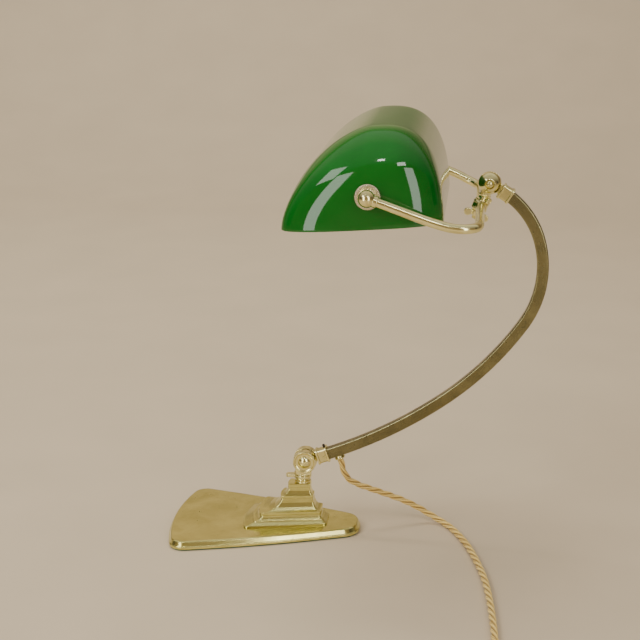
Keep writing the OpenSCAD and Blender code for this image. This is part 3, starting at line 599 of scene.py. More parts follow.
tape = plain_look("tape", (0.09, 0.055, 0.03), (0.18, 0.12, 0.07), 1500, 0.85, 0.0002, (1, 0.3, 1))
bulb_white = plain_look("bulb_white", (0.86, 0.86, 0.84), (0.93, 0.93, 0.91), 60, 0.25, 0.00001,
                        Coat_Weight=0.7, Coat_Roughness=0.03)
green_glass, opal, silk, felt = green_glass_look(), opal_look(), silk_look(), felt_look()


# ---- the lamp's main points and frames ----
NECK_X = 36
LOWER = np.array([38.3, 0, 68.6])
ARM_SLOPE = 19.5
ARM_ARCS = [(430, 16.2), (299, 20.4), (93, 49.4), (76, 42)]
ARM_DEPTH, ARM_WIDTH, ARM_WALL = 10.6, 9, 1.2
PLATE_Z, PLATE_TOP, RECESS_TOP = 1, 8.6, 5.6
NECK_LEN, NECK_LEAN = 22, 21.5
PIVOT = np.array([104.3, 0, 341.9])
GLASS_END = 113.5
BALL_R, BALL_FACE = 10.2, 0.6


def arm_points(degrees_each=1.5):
    """The arm's centreline and slope, from the lower knuckle's collar to the upper one's."""
    a = radians(ARM_SLOPE)
    here = LOWER + 19.3 * np.array([cos(a), 0, sin(a)])
    line = [(*(LOWER + 12.3 * np.array([cos(a), 0, sin(a)])), a)]
    for radius, sweep in ARM_ARCS:
        centre = here + radius * np.array([-sin(a), 0, cos(a)])
        count = max(6, round(sweep / degrees_each))
        for k in range(count):
            b = a + radians(sweep) * k / count
            line.append((*(centre + radius * np.array([sin(b), 0, -cos(b)])), b))
        a += radians(sweep)
        here = centre + radius * np.array([sin(a), 0, -cos(a)])
    ahead = np.array([cos(a), 0, sin(a)])
    line += [(*here, a), (*(here + 4.6 * ahead), a)]
    return np.array(line), here + 16.2 * ahead


ARM_LINE, BALL = arm_points()
END_SLOPE = ARM_SLOPE + sum(sweep for _, sweep in ARM_ARCS)
LOWER_FRAME = tilted(LOWER, -ARM_SLOPE)
UPPER_FRAME = tilted(BALL, 180 - END_SLOPE)
HEAD_FRAME = tilted(BALL, NECK_LEAN)
HUB = BALL - NECK_LEN * HEAD_FRAME[:3, 2]


# ---- cord ----
CORD_R = 3
STRANDS, STRAND_R, STRAND_OFF, STRAND_PITCH, STRAND_SIDES = 3, 1.45, 1.6, 36, 10
CORD_ROUTE = [
    (71.5, 0, 71.8), (73, 0, 66.5), (75, 1, 58), (79, 4, 50), (87, 8, 43.5), (98, 12, 38), (112, 17, 31.5),
    (128, 22, 24), (143, 25, 16), (156, 25, 8.5), (168, 19, 4), (177, 7, 3), (184, -8, 3), (191, -26, 3),
    (197, -46, 3), (203, -71, 3), (209, -102, 3), (213, -136, 3), (216, -176, 3), (218, -216, 3),
    (219, -255, 3), (219, -288, 3),
]
COIL_CENTRE = (180, -296)
COIL_BASE = 0.2
# Radius of each turn of the coil, and the layer it lies in
COIL_TURNS = [(39, 0), (33, 0), (27, 0), (27, 1), (33, 1), (39, 1), (36, 2)]
TURN_STEPS = 48
LAYERS = [COIL_BASE + CORD_R, COIL_BASE + 3 * CORD_R, COIL_BASE + 4.8 * CORD_R]
PLUG_AT = np.array([144, -336, 12.2])


def coil_points():
    """Six and a quarter turns, clockwise from above. Each turn's last fifth moves to the next one."""
    points = []
    for step in range(1, 6 * TURN_STEPS + 13):
        turn, part = divmod(step / TURN_STEPS, 1)
        turn = int(turn)
        (r, layer), (r2, layer2) = COIL_TURNS[turn], COIL_TURNS[min(turn + 1, 6)]
        t = max(0.0, (part - 0.8) / 0.2) if turn < 6 else 0.0
        t = t * t * (3 - 2 * t)
        radius, z = r + (r2 - r) * t, LAYERS[layer] + (LAYERS[layer2] - LAYERS[layer]) * t
        a = -2 * pi * step / TURN_STEPS
        points.append((COIL_CENTRE[0] + radius * cos(a), COIL_CENTRE[1] + radius * sin(a), z))
    return points


def make_cord():
    tail = [(168, -332.6, 14.4), (156, -334.2, 13.4), tuple(PLUG_AT)]
    route = np.concatenate([spline(CORD_ROUTE[:-1], 12), CORD_ROUTE[-1:], coil_points(), tail])
    smooth = spline(evenly(route, 5)[0], 4)
    path, length = evenly(smooth, 1.4)
    heads = np.gradient(path, axis=0)
    side = unit(np.cross(heads[0], (0.5, 0.5, 0.7)))
    sides, tops = [], []
    for h in heads:
        h = unit(h)
        side = unit(side - h * (side @ h))
        sides.append(side)
        tops.append(np.cross(side, h))
    sides, tops = np.array(sides), np.array(tops)
    gone = np.arange(len(path)) * length / (len(path) - 1)
    strands, grain = [], []
    for s in range(STRANDS):
        turn = 2 * pi * (gone / STRAND_PITCH + s / STRANDS)
        off = STRAND_OFF * (np.cos(turn)[:, None] * sides + np.sin(turn)[:, None] * tops)
        line = path + off
        along = np.gradient(line, axis=0)
        rings = []
        for p, h, o, g in zip(line, along, off, gone):
            h, out = unit(h), unit(o)
            out = unit(out - h * (out @ h))
            across = np.cross(h, out)
            for k in range(STRAND_SIDES):
                a = 2 * pi * k / STRAND_SIDES
                rings.append(p + STRAND_R * (cos(a) * out + sin(a) * across))
                grain.append((g * MM, a, s))
        strands.append(grid(np.array(rings).reshape(len(path), STRAND_SIDES, 3)))
    points, faces = joined(*strands)
    obj = new_object("cord", points * MM, faces)
    obj.data.materials.append(silk)
    obj.data.shade_smooth()
    set_grain(obj, grain)
    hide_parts("cord_drop", "cord_run", "cord_tail", "cord_coil")
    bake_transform(obj)
    return obj, path * MM, length * MM


cord, cord_path, cord_length = make_cord()


def make_plug():
    at = placed(PLUG_AT, (-1, 0, 0), (0, 1, 0))
    grips = []
    for i in range(5):
        z = 14.2 + 2 * i
        grips += [(12, z), (12, z + 1.1), (11.4, z + 1.3), (11.4, z + 1.8)]
    body = lathe([(0, 0.1), (4.6, 0.1), (5.4, 3), (6, 8), (9, 10.4), (12, 13)] + grips +
                 [(12, 24.4), (11, 25.6), (0, 25.6)], at, 0.5, 96)
    plug = make("plug", body, "base", bakelite, ["plug_body"])
    collar = lathe([(0, -2.5), (3.9, -2.5), (4.4, -1.6), (4.6, 1.2), (0, 1.2)], at, 0.4, 48)
    sleeve = make("plug_sleeve", collar, "base", fibre)
    pins = [lathe([(0, 18.2), (2.4, 18.2), (2.4, 42.6), (1.6, 44), (0, 44)],
                  placed(PLUG_AT + np.array([0, side * 6.35, 0]), (-1, 0, 0), (0, 1, 0)), 0.6, 40)
            for side in (-1, 1)]
    both = in_brass("plug_pins_bright", joined(*pins), "base", "plug_pins")
    return [plug, sleeve, both]


plug_pieces = make_plug()


def make_tie():
    """A tape round the coil's turns, with its loose end tucked under."""
    a = radians(140)
    out = np.array([cos(a), sin(a), 0])
    at = placed((COIL_CENTRE[0] + 33 * out[0], COIL_CENTRE[1] + 33 * out[1], 0), np.cross(out, UP), out)
    # local x runs outwards and local y is up or down, whichever the frame gives
    rise = 1 if at[2, 1] > 0 else -1
    wide, tall = 9.4, 6.65
    rings = []
    for grow, across in [(0, -5), (0.5, -4.8), (0.5, 4.8), (0, 5)]:
        shape = round_rect(wide + grow, tall - 0.3 + grow, 2.6 + grow, 6) + [0, rise * (tall + 0.05)]
        rings.append(np.column_stack([shape, np.full(len(shape), across)]))
    points, faces = grid(rings, along=True)
    knot = block((wide - 0.4, -2.6, -3.4), (wide + 1.2, 2.6, 3.4), placed((0, rise * tall, 0)), 0.5)
    points, faces = joined((points, faces), knot)
    make("coil_tie_tape", (moved(points, at), faces), "base", tape, ["coil_tie"])


make_tie()


# ---- base and pedestal ----
def make_base():
    half = 87.5
    corners = [[-half - 6.5, 0, 225], [10.5 - half, -69, 12], [2, -48.8, 900], [half + 0.5, -16, 17],
               [half + 0.5, 16, 17], [2, 48.8, 900], [10.5 - half, 69, 12]]
    # inset from the top face's edge, and height: the recess for the weight first, then up the rim
    edge = rounded([(-1.9, 1.0), (-2.5, 1.6), (-2.5, 3.6), (-1.9, 4.3), (-0.55, 7.7), (0.3, PLATE_TOP)],
                   [0.2, 0.5, 0.5, 0.4, 0.9, 0.5], closed=False, steps=4)
    levels = [(7.0, RECESS_TOP), (7.0, PLATE_Z), *edge, (1.2, PLATE_TOP), (4, PLATE_TOP)]
    part = loft_up([(outline(corners, inset), z) for inset, z in levels])
    make("base_plate_polished", part, "base", base_brass, ["base_plate"], sharp=50)


def pedestal_plan(stage, steps=10):
    front, rear = -19.5 + 45 * stage, 60 - 17.5 * stage
    wide, narrow = 30 - 24 * stage, 13.6 - 8.6 * stage
    return outline([[front - 0.1 * wide, 0, 2.6 * wide], [front + 0.1 * wide, -wide, 0.12 * wide],
                    [rear, -narrow, 0.25 * narrow], [rear, narrow, 0.25 * narrow],
                    [front + 0.1 * wide, wide, 0.12 * wide]], 0, steps)


def make_pedestal():
    # height above the plate, and stage from the foot (0) to the top (1)
    steps = [[0, 0], [1.3, 0], [1.8, 0.015], [1.8, 0.04], [2.6, 0.09], [3.5, 0.14], [4.3, 0.195], [5.2, 0.2],
             [5.5, 0.215], [5.5, 0.25], [6.4, 0.3], [8, 0.34], [10.2, 0.36], [10.2, 0.33],
             [12.6, 0.34], [12.6, 0.42], [13.6, 0.54], [16, 0.66], [20, 0.75], [24.4, 0.80], [24.4, 0.77],
             [26.6, 0.78], [26.6, 0.83], [28.4, 0.88], [31, 0.92], [34.4, 0.95], [34.4, 0.925], [37.3, 0.93],
             [37.9, 0.95]]
    reach = 30
    line = rounded([(stage * reach, z) for z, stage in steps], 0.3, closed=False, steps=3)
    part = loft_up([(pedestal_plan(x / reach), PLATE_TOP + z) for x, z in line])
    make("pedestal_polished", part, "base", base_brass, ["pedestal"], sharp=50)


def lug(low, high, low_half, high_half, near, far):
    """A block that tapers between two middles (x, z), from y near to y far."""
    rings = []
    for (x, z), half in ((low, low_half), (high, high_half)):
        left, right = x - half, x + half
        rings.append([(left, near, z), (right, near, z), (right, far, z), (left, far, z)])
    return softened(grid(rings), 0.5)


def dished(radius, thick):
    """A knuckle cheek's profile, with a raised rim round its face."""
    return [(0, 0), (radius, 0), (radius, thick - 0.6), (radius - 0.5, thick), (radius - 1.5, thick),
            (radius - 2.1, thick - 0.7), (radius - 2.8, thick - 1), (0, thick - 1)]


def slotted_dome(name, origin, axis, radius, height, turn, body, stands_for, shank):
    """A domed bolt head with a screwdriver slot turned by some degrees, and its shank."""
    at = placed(origin, axis)
    big = (radius ** 2 + height ** 2) / (2 * height)
    arc = [(radius * k / 10, height - big + sqrt(big ** 2 - (radius * k / 10) ** 2)) for k in range(11)]
    profile = [(0, -0.4), (radius - 0.1, -0.4), (radius, 0)] + [(r, z) for r, z in reversed(arc[:-1])]
    part = lathe(profile, at, 0.1, 64)
    obj = in_brass(name, part, body, stands_for)
    a = radians(turn)
    slot_at = placed(origin, axis, at[:3, 0] * cos(a) + at[:3, 1] * sin(a))
    cut(obj, block((-radius - 1, -0.55, height - 1.1), (radius + 1, 0.55, height + 2), slot_at, 0.01))
    add_to(obj, shank)


def add_to(obj, part):
    """Adds a part to a finished piece, without cutting it."""
    bm = bmesh.new()
    bm.from_mesh(obj.data)
    made = [bm.verts.new(tuple(p)) for p in np.asarray(part[0]) * MM]
    faces = [bm.faces.new([made[i] for i in face]) for face in part[1]]
    bmesh.ops.recalc_face_normals(bm, faces=faces)
    bm.to_mesh(obj.data)
    bm.free()
    finish_mesh(obj)


def rod(radius, low, high, at, segments=40):
    return lathe([(0, low), (radius, low), (radius, high), (0, high)], at, 0.3, segments)


def make_neck():
    at = placed((NECK_X, 0, 0))
    ring = [(5.1, 46.5), (6.6, 46.5), (7, 46.9), (7, 47.5), (6.6, 47.9), (5.1, 47.9)]
    in_brass("collar_ring", lathe(ring, at, 0.2), "base", "pedestal_collar")
    post = [(0, 47.9), (7.9, 47.9), (7.9, 48.6), (6.5, 49.4), (6.3, 49.9), (7.4, 50.7),
            (7.6, 51.4), (5.2, 51.4), (5.2, 56.2), (0, 56.2)]
    in_brass("neck_turned", lathe(post, at, 0.25), "base", "neck_post")
    eye = arc(NECK_X, 0, 8.2, np.radians(np.linspace(-152, 152, 41)))
    tip = arc(23.4, 0, 3.4, np.radians(np.linspace(90, 270, 15)))
    plate = prism(np.array(eye + tip), 51.55, 54.5, None, 0.55)
    lever = in_brass("lever_plate", plate, "lever", "clamp_lever")
    cut(lever, rod(5.26, 50, 56, at, 48))
    near = placed(LOWER + [0, -0.6, 0], NEAR)
    flange = lathe([(5.3, 54.8), (8.2, 54.8), (8.2, 56.6), (5.3, 56.6)], at, 0.4)
    web = lug((NECK_X + 1, 55.6), (LOWER[0], 66.6), 6.6, 9, -7.45, -0.7)
    cheek = joined(lathe(dished(10.7, 8), near, 0.3, 96), flange, web)
    in_brass("lower_cheek_near", cheek, "base", "lower_cheek")
    slotted_dome("lower_bolt_head", LOWER + [0, -7.6, 0], NEAR, 6, 3, 25, "base", "lower_bolt",
                 rod(3, -13, 0, placed(LOWER, NEAR)))
    far = placed(LOWER, FAR)
    nut = joined(lathe([(3.1, 7.7), (6.8, 7.7), (6.8, 8.5), (3.1, 8.5)], far, 0.2),
                 prism(hexagon(5.8), 8.5, 11.7, far, 0.35))
    in_brass("lower_nut", nut, "base", "lower_bolt_nut")


# ---- arm ----
def arm_rings(shrink, corner):
    section = round_rect(ARM_DEPTH / 2 - shrink, ARM_WIDTH / 2 - shrink, corner)
    rings = []
    for x, _, z, a in ARM_LINE:
        rings.append([(x - p * sin(a), q, z + p * cos(a)) for p, q in section])
    return rings


def make_arm():
    outer, inner = grid(arm_rings(0, 1.5), caps=False), grid(arm_rings(ARM_WALL, 0.5), caps=False)
    ring = len(round_rect(5, 5, 1))
    part = hollow(outer, inner, ring)
    arm = make("arm_bar", part, "arm", arm_brass, ["arm_tube"], sharp=60)
    bush_at, screw_at = shifted(LOWER_FRAME, (32.4, 0, 0)), shifted(LOWER_FRAME, (21.5, 0, 0))
    cut(arm, rod(3.9, -12, -3.2, bush_at), rod(1.3, 2, 12, screw_at))
    store_grain(arm)
    far = placed(LOWER + [0, 0.6, 0], FAR)
    cheek = joined(lathe(dished(11.3, 8), far, 0.3, 96), *tongue(LOWER_FRAME, 11.4, 6))
    in_brass("lower_cheek_far", cheek, "arm", "arm_lower_cheek")
    lower = in_brass("collar_lower", sleeve(12.3, 23.4, LOWER_FRAME), "arm", "arm_lower_collar")
    cut(lower, rod(1.35, 3, 12, screw_at, 24))
    in_brass("collar_upper", sleeve(11.6, 22.4, UPPER_FRAME), "arm", "arm_upper_collar")
    screw = make("set_screw", lathe([(0, 4.3), (1.2, 4.3), (1.2, 9.7), (0, 9.7)], screw_at, 0.3, 32),
                 "arm", dark_steel, ["collar_screw"])
    cut(screw, block((-3, -0.3, 8.9), (3, 0.3, 12), screw_at, 0.01))
    bushing = [(3.3, -8), (4.9, -8), (4.9, -6.7), (4.2, -6.3), (3.85, -5.4), (3.85, -4.2), (3.3, -4.2)]
    in_brass("bushing", lathe(bushing, bush_at, 0.3, 48), "arm", "cord_bushing")
    ball = lathe(half_ball(5.2, 6.2), placed(BALL, FAR), 0.2, 80)
    in_brass("upper_ball_far", joined(ball, *tongue(UPPER_FRAME, 11.2, 5.6)), "arm", "arm_upper_cheek")


def tongue(at, start, far):
    """The tongue of a far cheek and its foot, which reach into the arm's collar."""
    foot = block((start, -3.2, -3.9), (start + 9, 3.2, 3.9), at)
    return [block((5, 0.7, -4.6), (12, far, 4.6), at), foot]


def half_ball(hole, back):
    """Half of the upper knuckle's ball, from its flat face to a recess of radius hole."""
    first = asin(BALL_FACE / BALL_R)
    turns = np.linspace(first, acos(hole / BALL_R), 14)[1:]
    face = [(0, BALL_FACE), (BALL_R * cos(first), BALL_FACE)]
    return face + arc(0, 0, BALL_R, turns) + [(hole, back), (0, back)]


def store_grain(obj):
    """Stores how far along the arm each point is, and where it is across it, for the brushed grain."""
    line = ARM_LINE[:, [0, 2]] * MM
    gone = np.concatenate([[0], np.cumsum(np.linalg.norm(np.diff(line, axis=0), axis=1))])
    co = np.array([v.co for v in obj.data.vertices])
    flat = co[:, [0, 2]]
    nearest = np.argmin(((flat[:, None] - line[None]) ** 2).sum(2), 1)
    slopes = ARM_LINE[nearest, 3]
    heads = np.stack([np.cos(slopes), np.sin(slopes)], 1)
    gap = flat - line[nearest]
    along = gone[nearest] + (gap * heads).sum(1)
    across = gap[:, 1] * heads[:, 0] - gap[:, 0] * heads[:, 1]
    set_grain(obj, np.stack([along, across, co[:, 1]], 1))


def sleeve(low, high, at):
    """A rectangular collar round the arm with a raised band at each end."""
    band = 1.7
    profile = rounded([(low, 0.02), (low, 2), (low + band, 2), (low + band + 0.5, 1.2),
                       (high - band - 0.5, 1.2), (high - band, 2), (high, 2), (high, 0.02)], 0.35)
    rings = []
    for x, grow in profile:
        shape = round_rect(ARM_DEPTH / 2 + grow, ARM_WIDTH / 2 + grow, 1.4 + grow * 0.5)
        rings.append([(x, q, p) for p, q in shape])
    points, faces = grid(rings, along=True)
    return moved(points, at), faces


# ---- head and fork ----
def make_head():
    ball = lathe(half_ball(4.3, 7.4), placed(BALL, NEAR), 0.2, 80)
    neck = [(0, -17), (6.2, -17), (6.2, -16), (4.7, -15), (4.6, -13.4), (5.6, -12), (5.9, -10.9),
            (0, -10.2)]
    web = block((-4.6, -5.8, -11.2), (4.6, -0.7, -4.6), HEAD_FRAME, 0.6)
    cheek = joined(ball, lathe(neck, HEAD_FRAME, 0.3), web)
    in_brass("upper_ball_near", cheek, "head", "head_cheek")
    slotted_dome("upper_bolt_head", BALL + [0, -7.4, 0], NEAR, 4.2, 2.8, -20, "head", "head_bolt",
                 rod(2.5, -9, 0, placed(BALL, NEAR)))
    nut = prism(hexagon(4.9), 6.3, 8.9, placed(BALL, FAR), 0.35)
    in_brass("upper_nut", nut, "head", "head_bolt_nut")
    a = radians(-50)
    toward = HEAD_FRAME[:3, 0] * cos(a) + HEAD_FRAME[:3, 1] * sin(a)
    at = placed(moved([(0, 0, -14.6)], HEAD_FRAME)[0], toward, HEAD_FRAME[:3, 2])
    knob = [(0, 6.5), (2.3, 6.5), (2.9, 7.1), (2.9, 8.6), (2.3, 9.2), (1.6, 9.2), (1.2, 8.9), (0, 8.9)]
    knurled = lathe(knob, at, 0.2, 120, (20, 0.07, 6.9, 8.7))
    in_brass("thumb_knob", joined(knurled, rod(1.5, 3.4, 6.7, at, 24)), "thumb_screw", "neck_screw")
    threads = [(0, -35)]
    for i in range(28):
        threads += [(2.75, -34.8 + 0.75 * i), (3.0, -34.4 + 0.75 * i)]
    threads += [(3.0, -14.0), (0, -14.0)]
    in_brass("head_stud_threaded", lathe(threads, HEAD_FRAME, 0.0, 48), "head", "head_stud")
    hub = [(0, -31.9), (4, -31.9), (4.8, -28.5), (4.8, -26.9), (0, -26.9)]
    wings = []
    across = placed(BALL, -HEAD_FRAME[:3, 1], HEAD_FRAME[:3, 0])
    for side in (-1, 1):
        shape = hull_of_circles((side * 4, -29.5, 1.9), (side * 8.2, -31.1, 3.4))
        wings.append(prism(shape, -1.1, 1.1, across, 0.55))
    nut = joined(lathe(hub, HEAD_FRAME, 0.35, 48), *wings)
    in_brass("wing_nut_cast", nut, "wings", "wing_nut")


def hull_of_circles(a, b):
    """The outline of two circles, each x, y and radius, and the lines that touch both."""
    d = np.array([b[0] - a[0], b[1] - a[1]])
    length = np.linalg.norm(d)
    heading = atan2(d[1], d[0])
    lean = acos((a[2] - b[2]) / length)
    first = arc(*a, np.linspace(heading + lean, heading + 2 * pi - lean, 14))
    return np.array(first + arc(*b, np.linspace(heading - lean, heading + lean, 20)))


# the tube's radius and wall, how far out its ends lie, and the radius of the balls on them
FORK_R, FORK_WALL, FORK_Y, ELBOW_R = 4, 1.2, 122, 7.4
# x, distance from the middle, then the height of the near and of the far tube
FORK_ROUTE = [
    (HUB[0], 4, HUB[2], HUB[2]), (196, 30, 315.6, 314.8), (196, 60, 316.6, 314.4),
    (196, 90, 317.8, 314), (195.6, 106, 318.4, 314), (192.6, 116.6, 318.6, 315),
    (184, 121.6, 318.4, 318.6), (172, 122, 319.4, 324.4), (156, 122, 323.8, 330.6),
    (132, 122, 332.2, 337), (110.3, 122, 339.8, 340.7),
]


def make_fork():
    for end, side in (("near", -1), ("far", 1)):
        line = spline([(x, side * y, (near, far)[side > 0]) for x, y, near, far in FORK_ROUTE], 10)
        skin, bore = (swept(line, circle(r, 40), (0, 0.05, 1), False) for r in (FORK_R, FORK_R - FORK_WALL))
        in_brass("fork_tube_" + end, hollow(skin, bore, 40), "fork", "fork_" + end + "_arm")
    hub = [(0, -26.7), (5.6, -26.7), (7.2, -25.2), (7.2, -24.4), (6.9, -24.1), (6.9, -19.9),
           (7.2, -19.6), (7.2, -18.9), (6.4, -17.5), (0, -17.5)]
    ring = [(4.05, 4.2), (4.3, 4.2), (4.3, 8.4), (4.05, 8.8)]
    rings = [lathe(ring, placed(HUB, axis), 0.05, 48) for axis in (NEAR, FAR)]
    turned = joined(lathe(hub, HEAD_FRAME, 0.35), *rings)
    in_brass("fork_hub_turned", turned, "fork", "fork_hub")
    elbows = []
    for side, axis, lift in ((-1, NEAR, 2.1), (1, FAR, 1.2)):
        joins = -acos(6.2 / ELBOW_R)
        ball = [(0, 121), (4.2, 121), (4.2, 116.35), (6.2, 116.35)]
        ball += arc(0, FORK_Y, ELBOW_R, np.linspace(joins, pi / 2, 22)[:-1])
        ball += [(0, FORK_Y + ELBOW_R)]
        elbows.append(lathe(ball, placed(PIVOT, axis), 0.15, 64))
        start = np.array([110.3, side * FORK_Y, PIVOT[2] - lift])
        ahead = np.array([132, side * FORK_Y, 332.2 if side < 0 else 337]) - start
        socket = [(4.02, -1), (5, -1), (5, 2.2), (4.7, 2.8), (4.02, 2.8)]
        elbows.append(lathe(socket, placed(start, ahead), 0.3, 48))
    in_brass("fork_ball_ends", joined(*elbows), "fork", "fork_elbows")
    inner = prism(hexagon(8), GLASS_END - 14, GLASS_END - 10.6, placed(PIVOT, NEAR), 0.4)
    nut = in_brass("near_nut", inner, "fork", "near_nipple_nut")
    cut(nut, rod(4.25, 90, 120, placed(PIVOT, NEAR), 40))


# ---- shade ----
RIM_FRONT = np.array([29.8, 0, 308.2])
RIM_RISE = radians(4)
SHADE_W, SHADE_H = 137, 81.5
CREST_U, MIDDLE_U, HALF_U = 0.59 * SHADE_W, 72, 68
CROWN_LEN, CORNER_LEN = 45, 24
FLAT_V, FLAT_U = 0.4, 0.1
FRONT_POWER, REAR_POWER, CORNER_POWER = 1.62, 2.85, 2.5
RIM_V = 0.6
END_STEPS, ARCH_STEPS = 34, 72


def kept(size, flat, inset, turn):
    """What is left of a size that curves in to a flat part, for a turn from 1 (full) to 0 (flat)."""
    return (flat * size + ((1 - flat) * size - inset) * turn) / (size - inset)


def shade_point(y_part, share, inset, lift=0.0):
    """A point of the shade's surface. y_part is from -2 to 2 (beyond 1 it is on the end), share from
    0 to 1 goes from the front rim over the crest to the rear one, and lift raises the rim's cut."""
    straight = GLASS_END - CROWN_LEN
    side, k = copysign(1, y_part), abs(y_part)
    a = max(k - 1, 0) * pi / 2
    y = straight * k if k <= 1 else straight + (CROWN_LEN - inset) * sin(a)
    past = min(max((y - GLASS_END + CORNER_LEN) / (CORNER_LEN - inset), 0), 1)
    keep_u = kept(HALF_U, FLAT_U, inset, max(1 - past ** CORNER_POWER, 0) ** (1 / CORNER_POWER))
    keep_v = kept(SHADE_H, FLAT_V, inset, cos(a))
    cut_at = (RIM_V + lift) / (keep_v * (SHADE_H - inset))
    front = asin(cut_at ** (FRONT_POWER / 2))
    rear = pi - asin(cut_at ** (REAR_POWER / 2))
    a = front + (rear - front) * share
    c, s = cos(a), max(sin(a), 0)
    half = (CREST_U if c > 0 else SHADE_W - CREST_U) - inset
    power = FRONT_POWER if c > 0 else REAR_POWER
    u = CREST_U - copysign(1, c) * half * abs(c) ** (2 / power)
    v = (SHADE_H - inset) * s ** (2 / power)
    u, v = MIDDLE_U + (u - MIDDLE_U) * keep_u, v * keep_v
    return (RIM_FRONT[0] + u * cos(RIM_RISE) - v * sin(RIM_RISE), side * y,
            RIM_FRONT[2] + u * sin(RIM_RISE) + v * cos(RIM_RISE))


def shade_shell(outer, inner):
    """One layer of glass, with a softly rounded rim."""
    ends = [2 - (1 - k / END_STEPS) ** 1.9 for k in range(1, END_STEPS + 1)]
    flats = [k / 5 for k in range(6)]
    half = flats + ends
    stations = [-k for k in reversed(half[1:])] + half
    shares = [k / ARCH_STEPS for k in range(ARCH_STEPS + 1)]
    soft = 0.55
    # places across the rim's thickness, and how much its two outermost ones are lifted
    across = [(0.12, 0.12), (0.3, 0.0), (0.7, 0.0), (0.88, 0.12)]
    rings = []
    for k in stations:
        skin = [shade_point(k, t, outer, soft) for t in shares]
        back = [shade_point(k, t, inner, soft) for t in reversed(shares)]
        front_rim, rear_rim = (
            [shade_point(k, share, outer + (inner - outer) * f, lift) for f, lift in across]
            for share in (0, 1))
        rings.append(skin + rear_rim + back + front_rim[::-1])
    n = len(rings[0])
    points, faces = grid(rings, caps=False)
    count = len(shares)
    for first, order in ((0, 1), ((len(rings) - 1) * n, -1)):
        outer_cap = [first + i for i in range(count)]
        rim_cap = [first + count + i for i in range(4)]
        inner_cap = [first + count + 4 + i for i in range(count)]
        front_cap = [first + 2 * count + 4 + i for i in range(4)]
        faces.append(tuple(outer_cap[::order]))
        faces.append(tuple(inner_cap[::order]))
        loop_a = [outer_cap[0]] + front_cap[::-1] + [inner_cap[-1]]
        loop_b = [outer_cap[-1]] + rim_cap + [inner_cap[0]]
        for i in range(5):
            faces.append((loop_a[i], loop_a[i + 1], loop_b[i + 1], loop_b[i])[::order])
    return points, faces


def make_shade():
    bore = rod(6.2, -150, 150, placed(PIVOT, FAR), 64)
    for name, outer, inner, look, slot, node_name in (
            ("shade_green", 0, 2.6, green_glass, "green_glass", "shade_glass"),
            ("shade_white", 2.5, 4.2, opal, "opal_glass", "shade_lining")):
        shell = make(name, shade_shell(outer, inner), "shade", look, [node_name], sharp=60)
        cut(shell, bore)
    bushes = []
    for axis in (NEAR, FAR):
        bush = [(4.26, 103.3), (5.9, 103.3), (5.9, 114.4), (10.8, 114.4), (10.8, 115.4), (10.2, 116.2),
                (8.4, 116.2), (8, 115.9), (6.6, 115.9), (6.2, 116.2), (4.26, 116.2)]
        bushes.append(lathe(bush, placed(PIVOT, axis), 0.25, 72))
    make("pivot_washers", joined(*bushes), "shade", pale, ["shade_bushes"])


def make_key():
    at = placed((PIVOT[0], 83.9, PIVOT[2]))
    shaft = rod(1.6, -19, -10, at, 24)
    disc = lathe([(0, -19.6), (4, -19.6), (4, -18), (0, -18)], at, 0.4, 40)
    paddle = block((-6, -1.3, -23.4), (6, 1.3, -19.3), at, 0.9)
    make("key_paddle", joined(shaft, disc, paddle), "key", bakelite, ["switch_key"])


make_base()
make_pedestal()
make_neck()
make_arm()
make_head()
make_fork()
make_shade()
make_key()

# ---- materials of the CAD nodes that stay ----
CAD_LOOKS = {
    "base_ballast": iron, "base_felt": felt, "base_screws": steel, "pedestal_stud": steel,
    "pedestal_nut": steel, "pedestal_washer": steel, "lower_friction_disc": fibre,
    "arm_wire": silk, "head_friction_disc": fibre,
    "pivot_nipples": brass, "holder_cap": brass, "holder_shell": brass, "holder_insert": porcelain,
    "holder_thread": brass, "holder_contact": brass, "bulb_cap": steel, "bulb_glass": bulb_white,
    "bulb_stem": bulb_white, "bulb_filament": steel, "shade_gaskets": fibre, "shade_ring_nuts": brass,
}
for name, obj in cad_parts.items():
    if name in CAD_LOOKS:
        obj.data.materials.clear()
        obj.data.materials.append(CAD_LOOKS[name])


# ---- floor and light ----
FLOOR_HALF = 9
# light colours, from nearly white to warm
PALE, CREAM, WARM, AMBER = (1.0, 0.98, 0.95), (1.0, 0.98, 0.94), (1.0, 0.97, 0.93), (1.0, 0.95, 0.86)


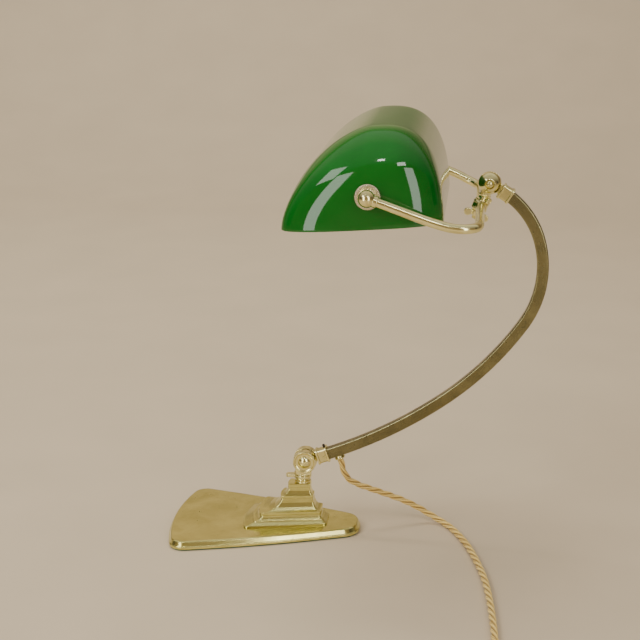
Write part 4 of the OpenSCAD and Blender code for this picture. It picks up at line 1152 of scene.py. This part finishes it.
def make_stage():
    look, tree = shader("floor", Specular_IOR_Level=0.25)
    grit = noise(tree, 9, 4, 0.5)
    tone = ramp(tree, grit, (0.3, (0.555, 0.463, 0.332)), (0.7, (0.585, 0.488, 0.35)))
    # a soft band of painted shade on the backdrop, above the view: the shade's crown mirrors it, and the
    # base mirrors the pale wall over it
    place = node(tree, "SeparateXYZ", {"Vector": node(tree, "TexCoord").outputs["Object"]})
    depth, height = place.outputs[1:3]
    band = combine(tree, "SUBTRACT", spread_to(tree, height, 0.45, 0.75, 0, 0.65),
                   spread_to(tree, height, 0.85, 1.1, 0, 0.65))
    band = times(tree, band, spread_to(tree, depth, 0.5, 1.5))
    tone = blend_colour(tree, band, tone, (0.13, 0.12, 0.08))
    wired(look, tone, spread_to(tree, grit, 0.3, 0.7, 0.55, 0.65))
    # the floor bends up into a backdrop behind the lamp and into a wall behind the camera
    bend = [(sin(t), 1 - cos(t)) for t in np.linspace(0, pi / 2, 16)]
    profile = [(-3.4, 3.2)] + [(-2.6 - 0.8 * y, 0.8 * z) for y, z in reversed(bend)]
    profile += [(1.6 + 1.2 * y, 1.2 * z) for y, z in bend] + [(2.8, 4.0)]
    points = [(x, y, z) for y, z in profile for x in (-FLOOR_HALF, FLOOR_HALF)]
    faces = [(2 * i, 2 * i + 1, 2 * i + 3, 2 * i + 2) for i in range(len(profile) - 1)]
    floor = new_object("floor", points, faces)
    floor.data.shade_smooth()
    floor.data.materials.append(look)


def area_light(name, location, target, size, power, colour, mirrored=True):
    """A soft box. One that isn't mirrored lights things but isn't seen in polished surfaces."""
    data = bpy.data.lights.new(name, "AREA")
    data.shape = "RECTANGLE"
    data.size, data.size_y = size
    data.energy = power
    data.color = colour
    light = bpy.data.objects.new(name, data)
    light.location = location
    aim = Vector(target) - Vector(location)
    light.rotation_euler = aim.to_track_quat("-Z", "Y").to_euler()
    light.visible_glossy = mirrored
    scene.collection.objects.link(light)


def make_light():
    """A room dark behind the camera and pale round the backdrop, with soft boxes at both sides."""
    world = bpy.data.worlds.new("studio")
    world.use_nodes = True
    tree = world.node_tree
    place = node(tree, "TexCoord").outputs["Generated"]
    back, up = node(tree, "SeparateXYZ", {"Vector": place}).outputs[1:3]
    depth = ramp(tree, spread_to(tree, back, -1, 1), (0.1, (0.045, 0.04, 0.032)),
                 (0.45, (0.07, 0.062, 0.05)), (0.62, (0.4, 0.35, 0.28)), (1.0, (0.6, 0.55, 0.48)))
    above = ramp(tree, spread_to(tree, up, -1, 1), (0.6, (0, 0, 0)), (0.95, (0.7, 0.66, 0.6)))
    background = tree.nodes["Background"]
    tree.links.new(blend_colour(tree, 1.0, depth, above, "ADD"), background.inputs["Color"])
    background.inputs["Strength"].default_value = 0.75
    scene.world = world
    # where it is, what it points at, its size, its power and its colour
    for name, *values in (
            ("left_box", (-0.66, -1.25, 0.55), (0.08, 0, 0.32), (0.32, 1.1), 7, CREAM),
            ("left_high_box", (-1.0, -0.95, 1.3), (0.08, 0, 0.3), (0.5, 0.4), 4, CREAM),
            ("right_box", (0.8, -1.25, 0.55), (0.1, 0, 0.32), (0.3, 1.0), 5.5, PALE),
            ("right_high_box", (0.62, -1.35, 1.35), (0.1, 0, 0.3), (0.3, 0.2), 2.2, PALE),
            ("high_box", (0.0, -1.5, 1.9), (0.1, 0, 0.2), (0.16, 0.12), 2, PALE),
            ("soft_left", (-1.2, -0.9, 1.5), (0.08, 0, 0.25), (0.9, 0.9), 12, CREAM, False),
            ("top", (-0.3, 0.5, 2.1), (0.0, 0.1, 0.1), (1.4, 1.0), 13, WARM, False),
            ("backdrop_wash", (-0.9, 0.6, 2.6), (-0.6, 2.8, 1.5), (2.0, 0.6), 58, AMBER, False)):
        area_light(name, *values)


make_stage()
make_light()
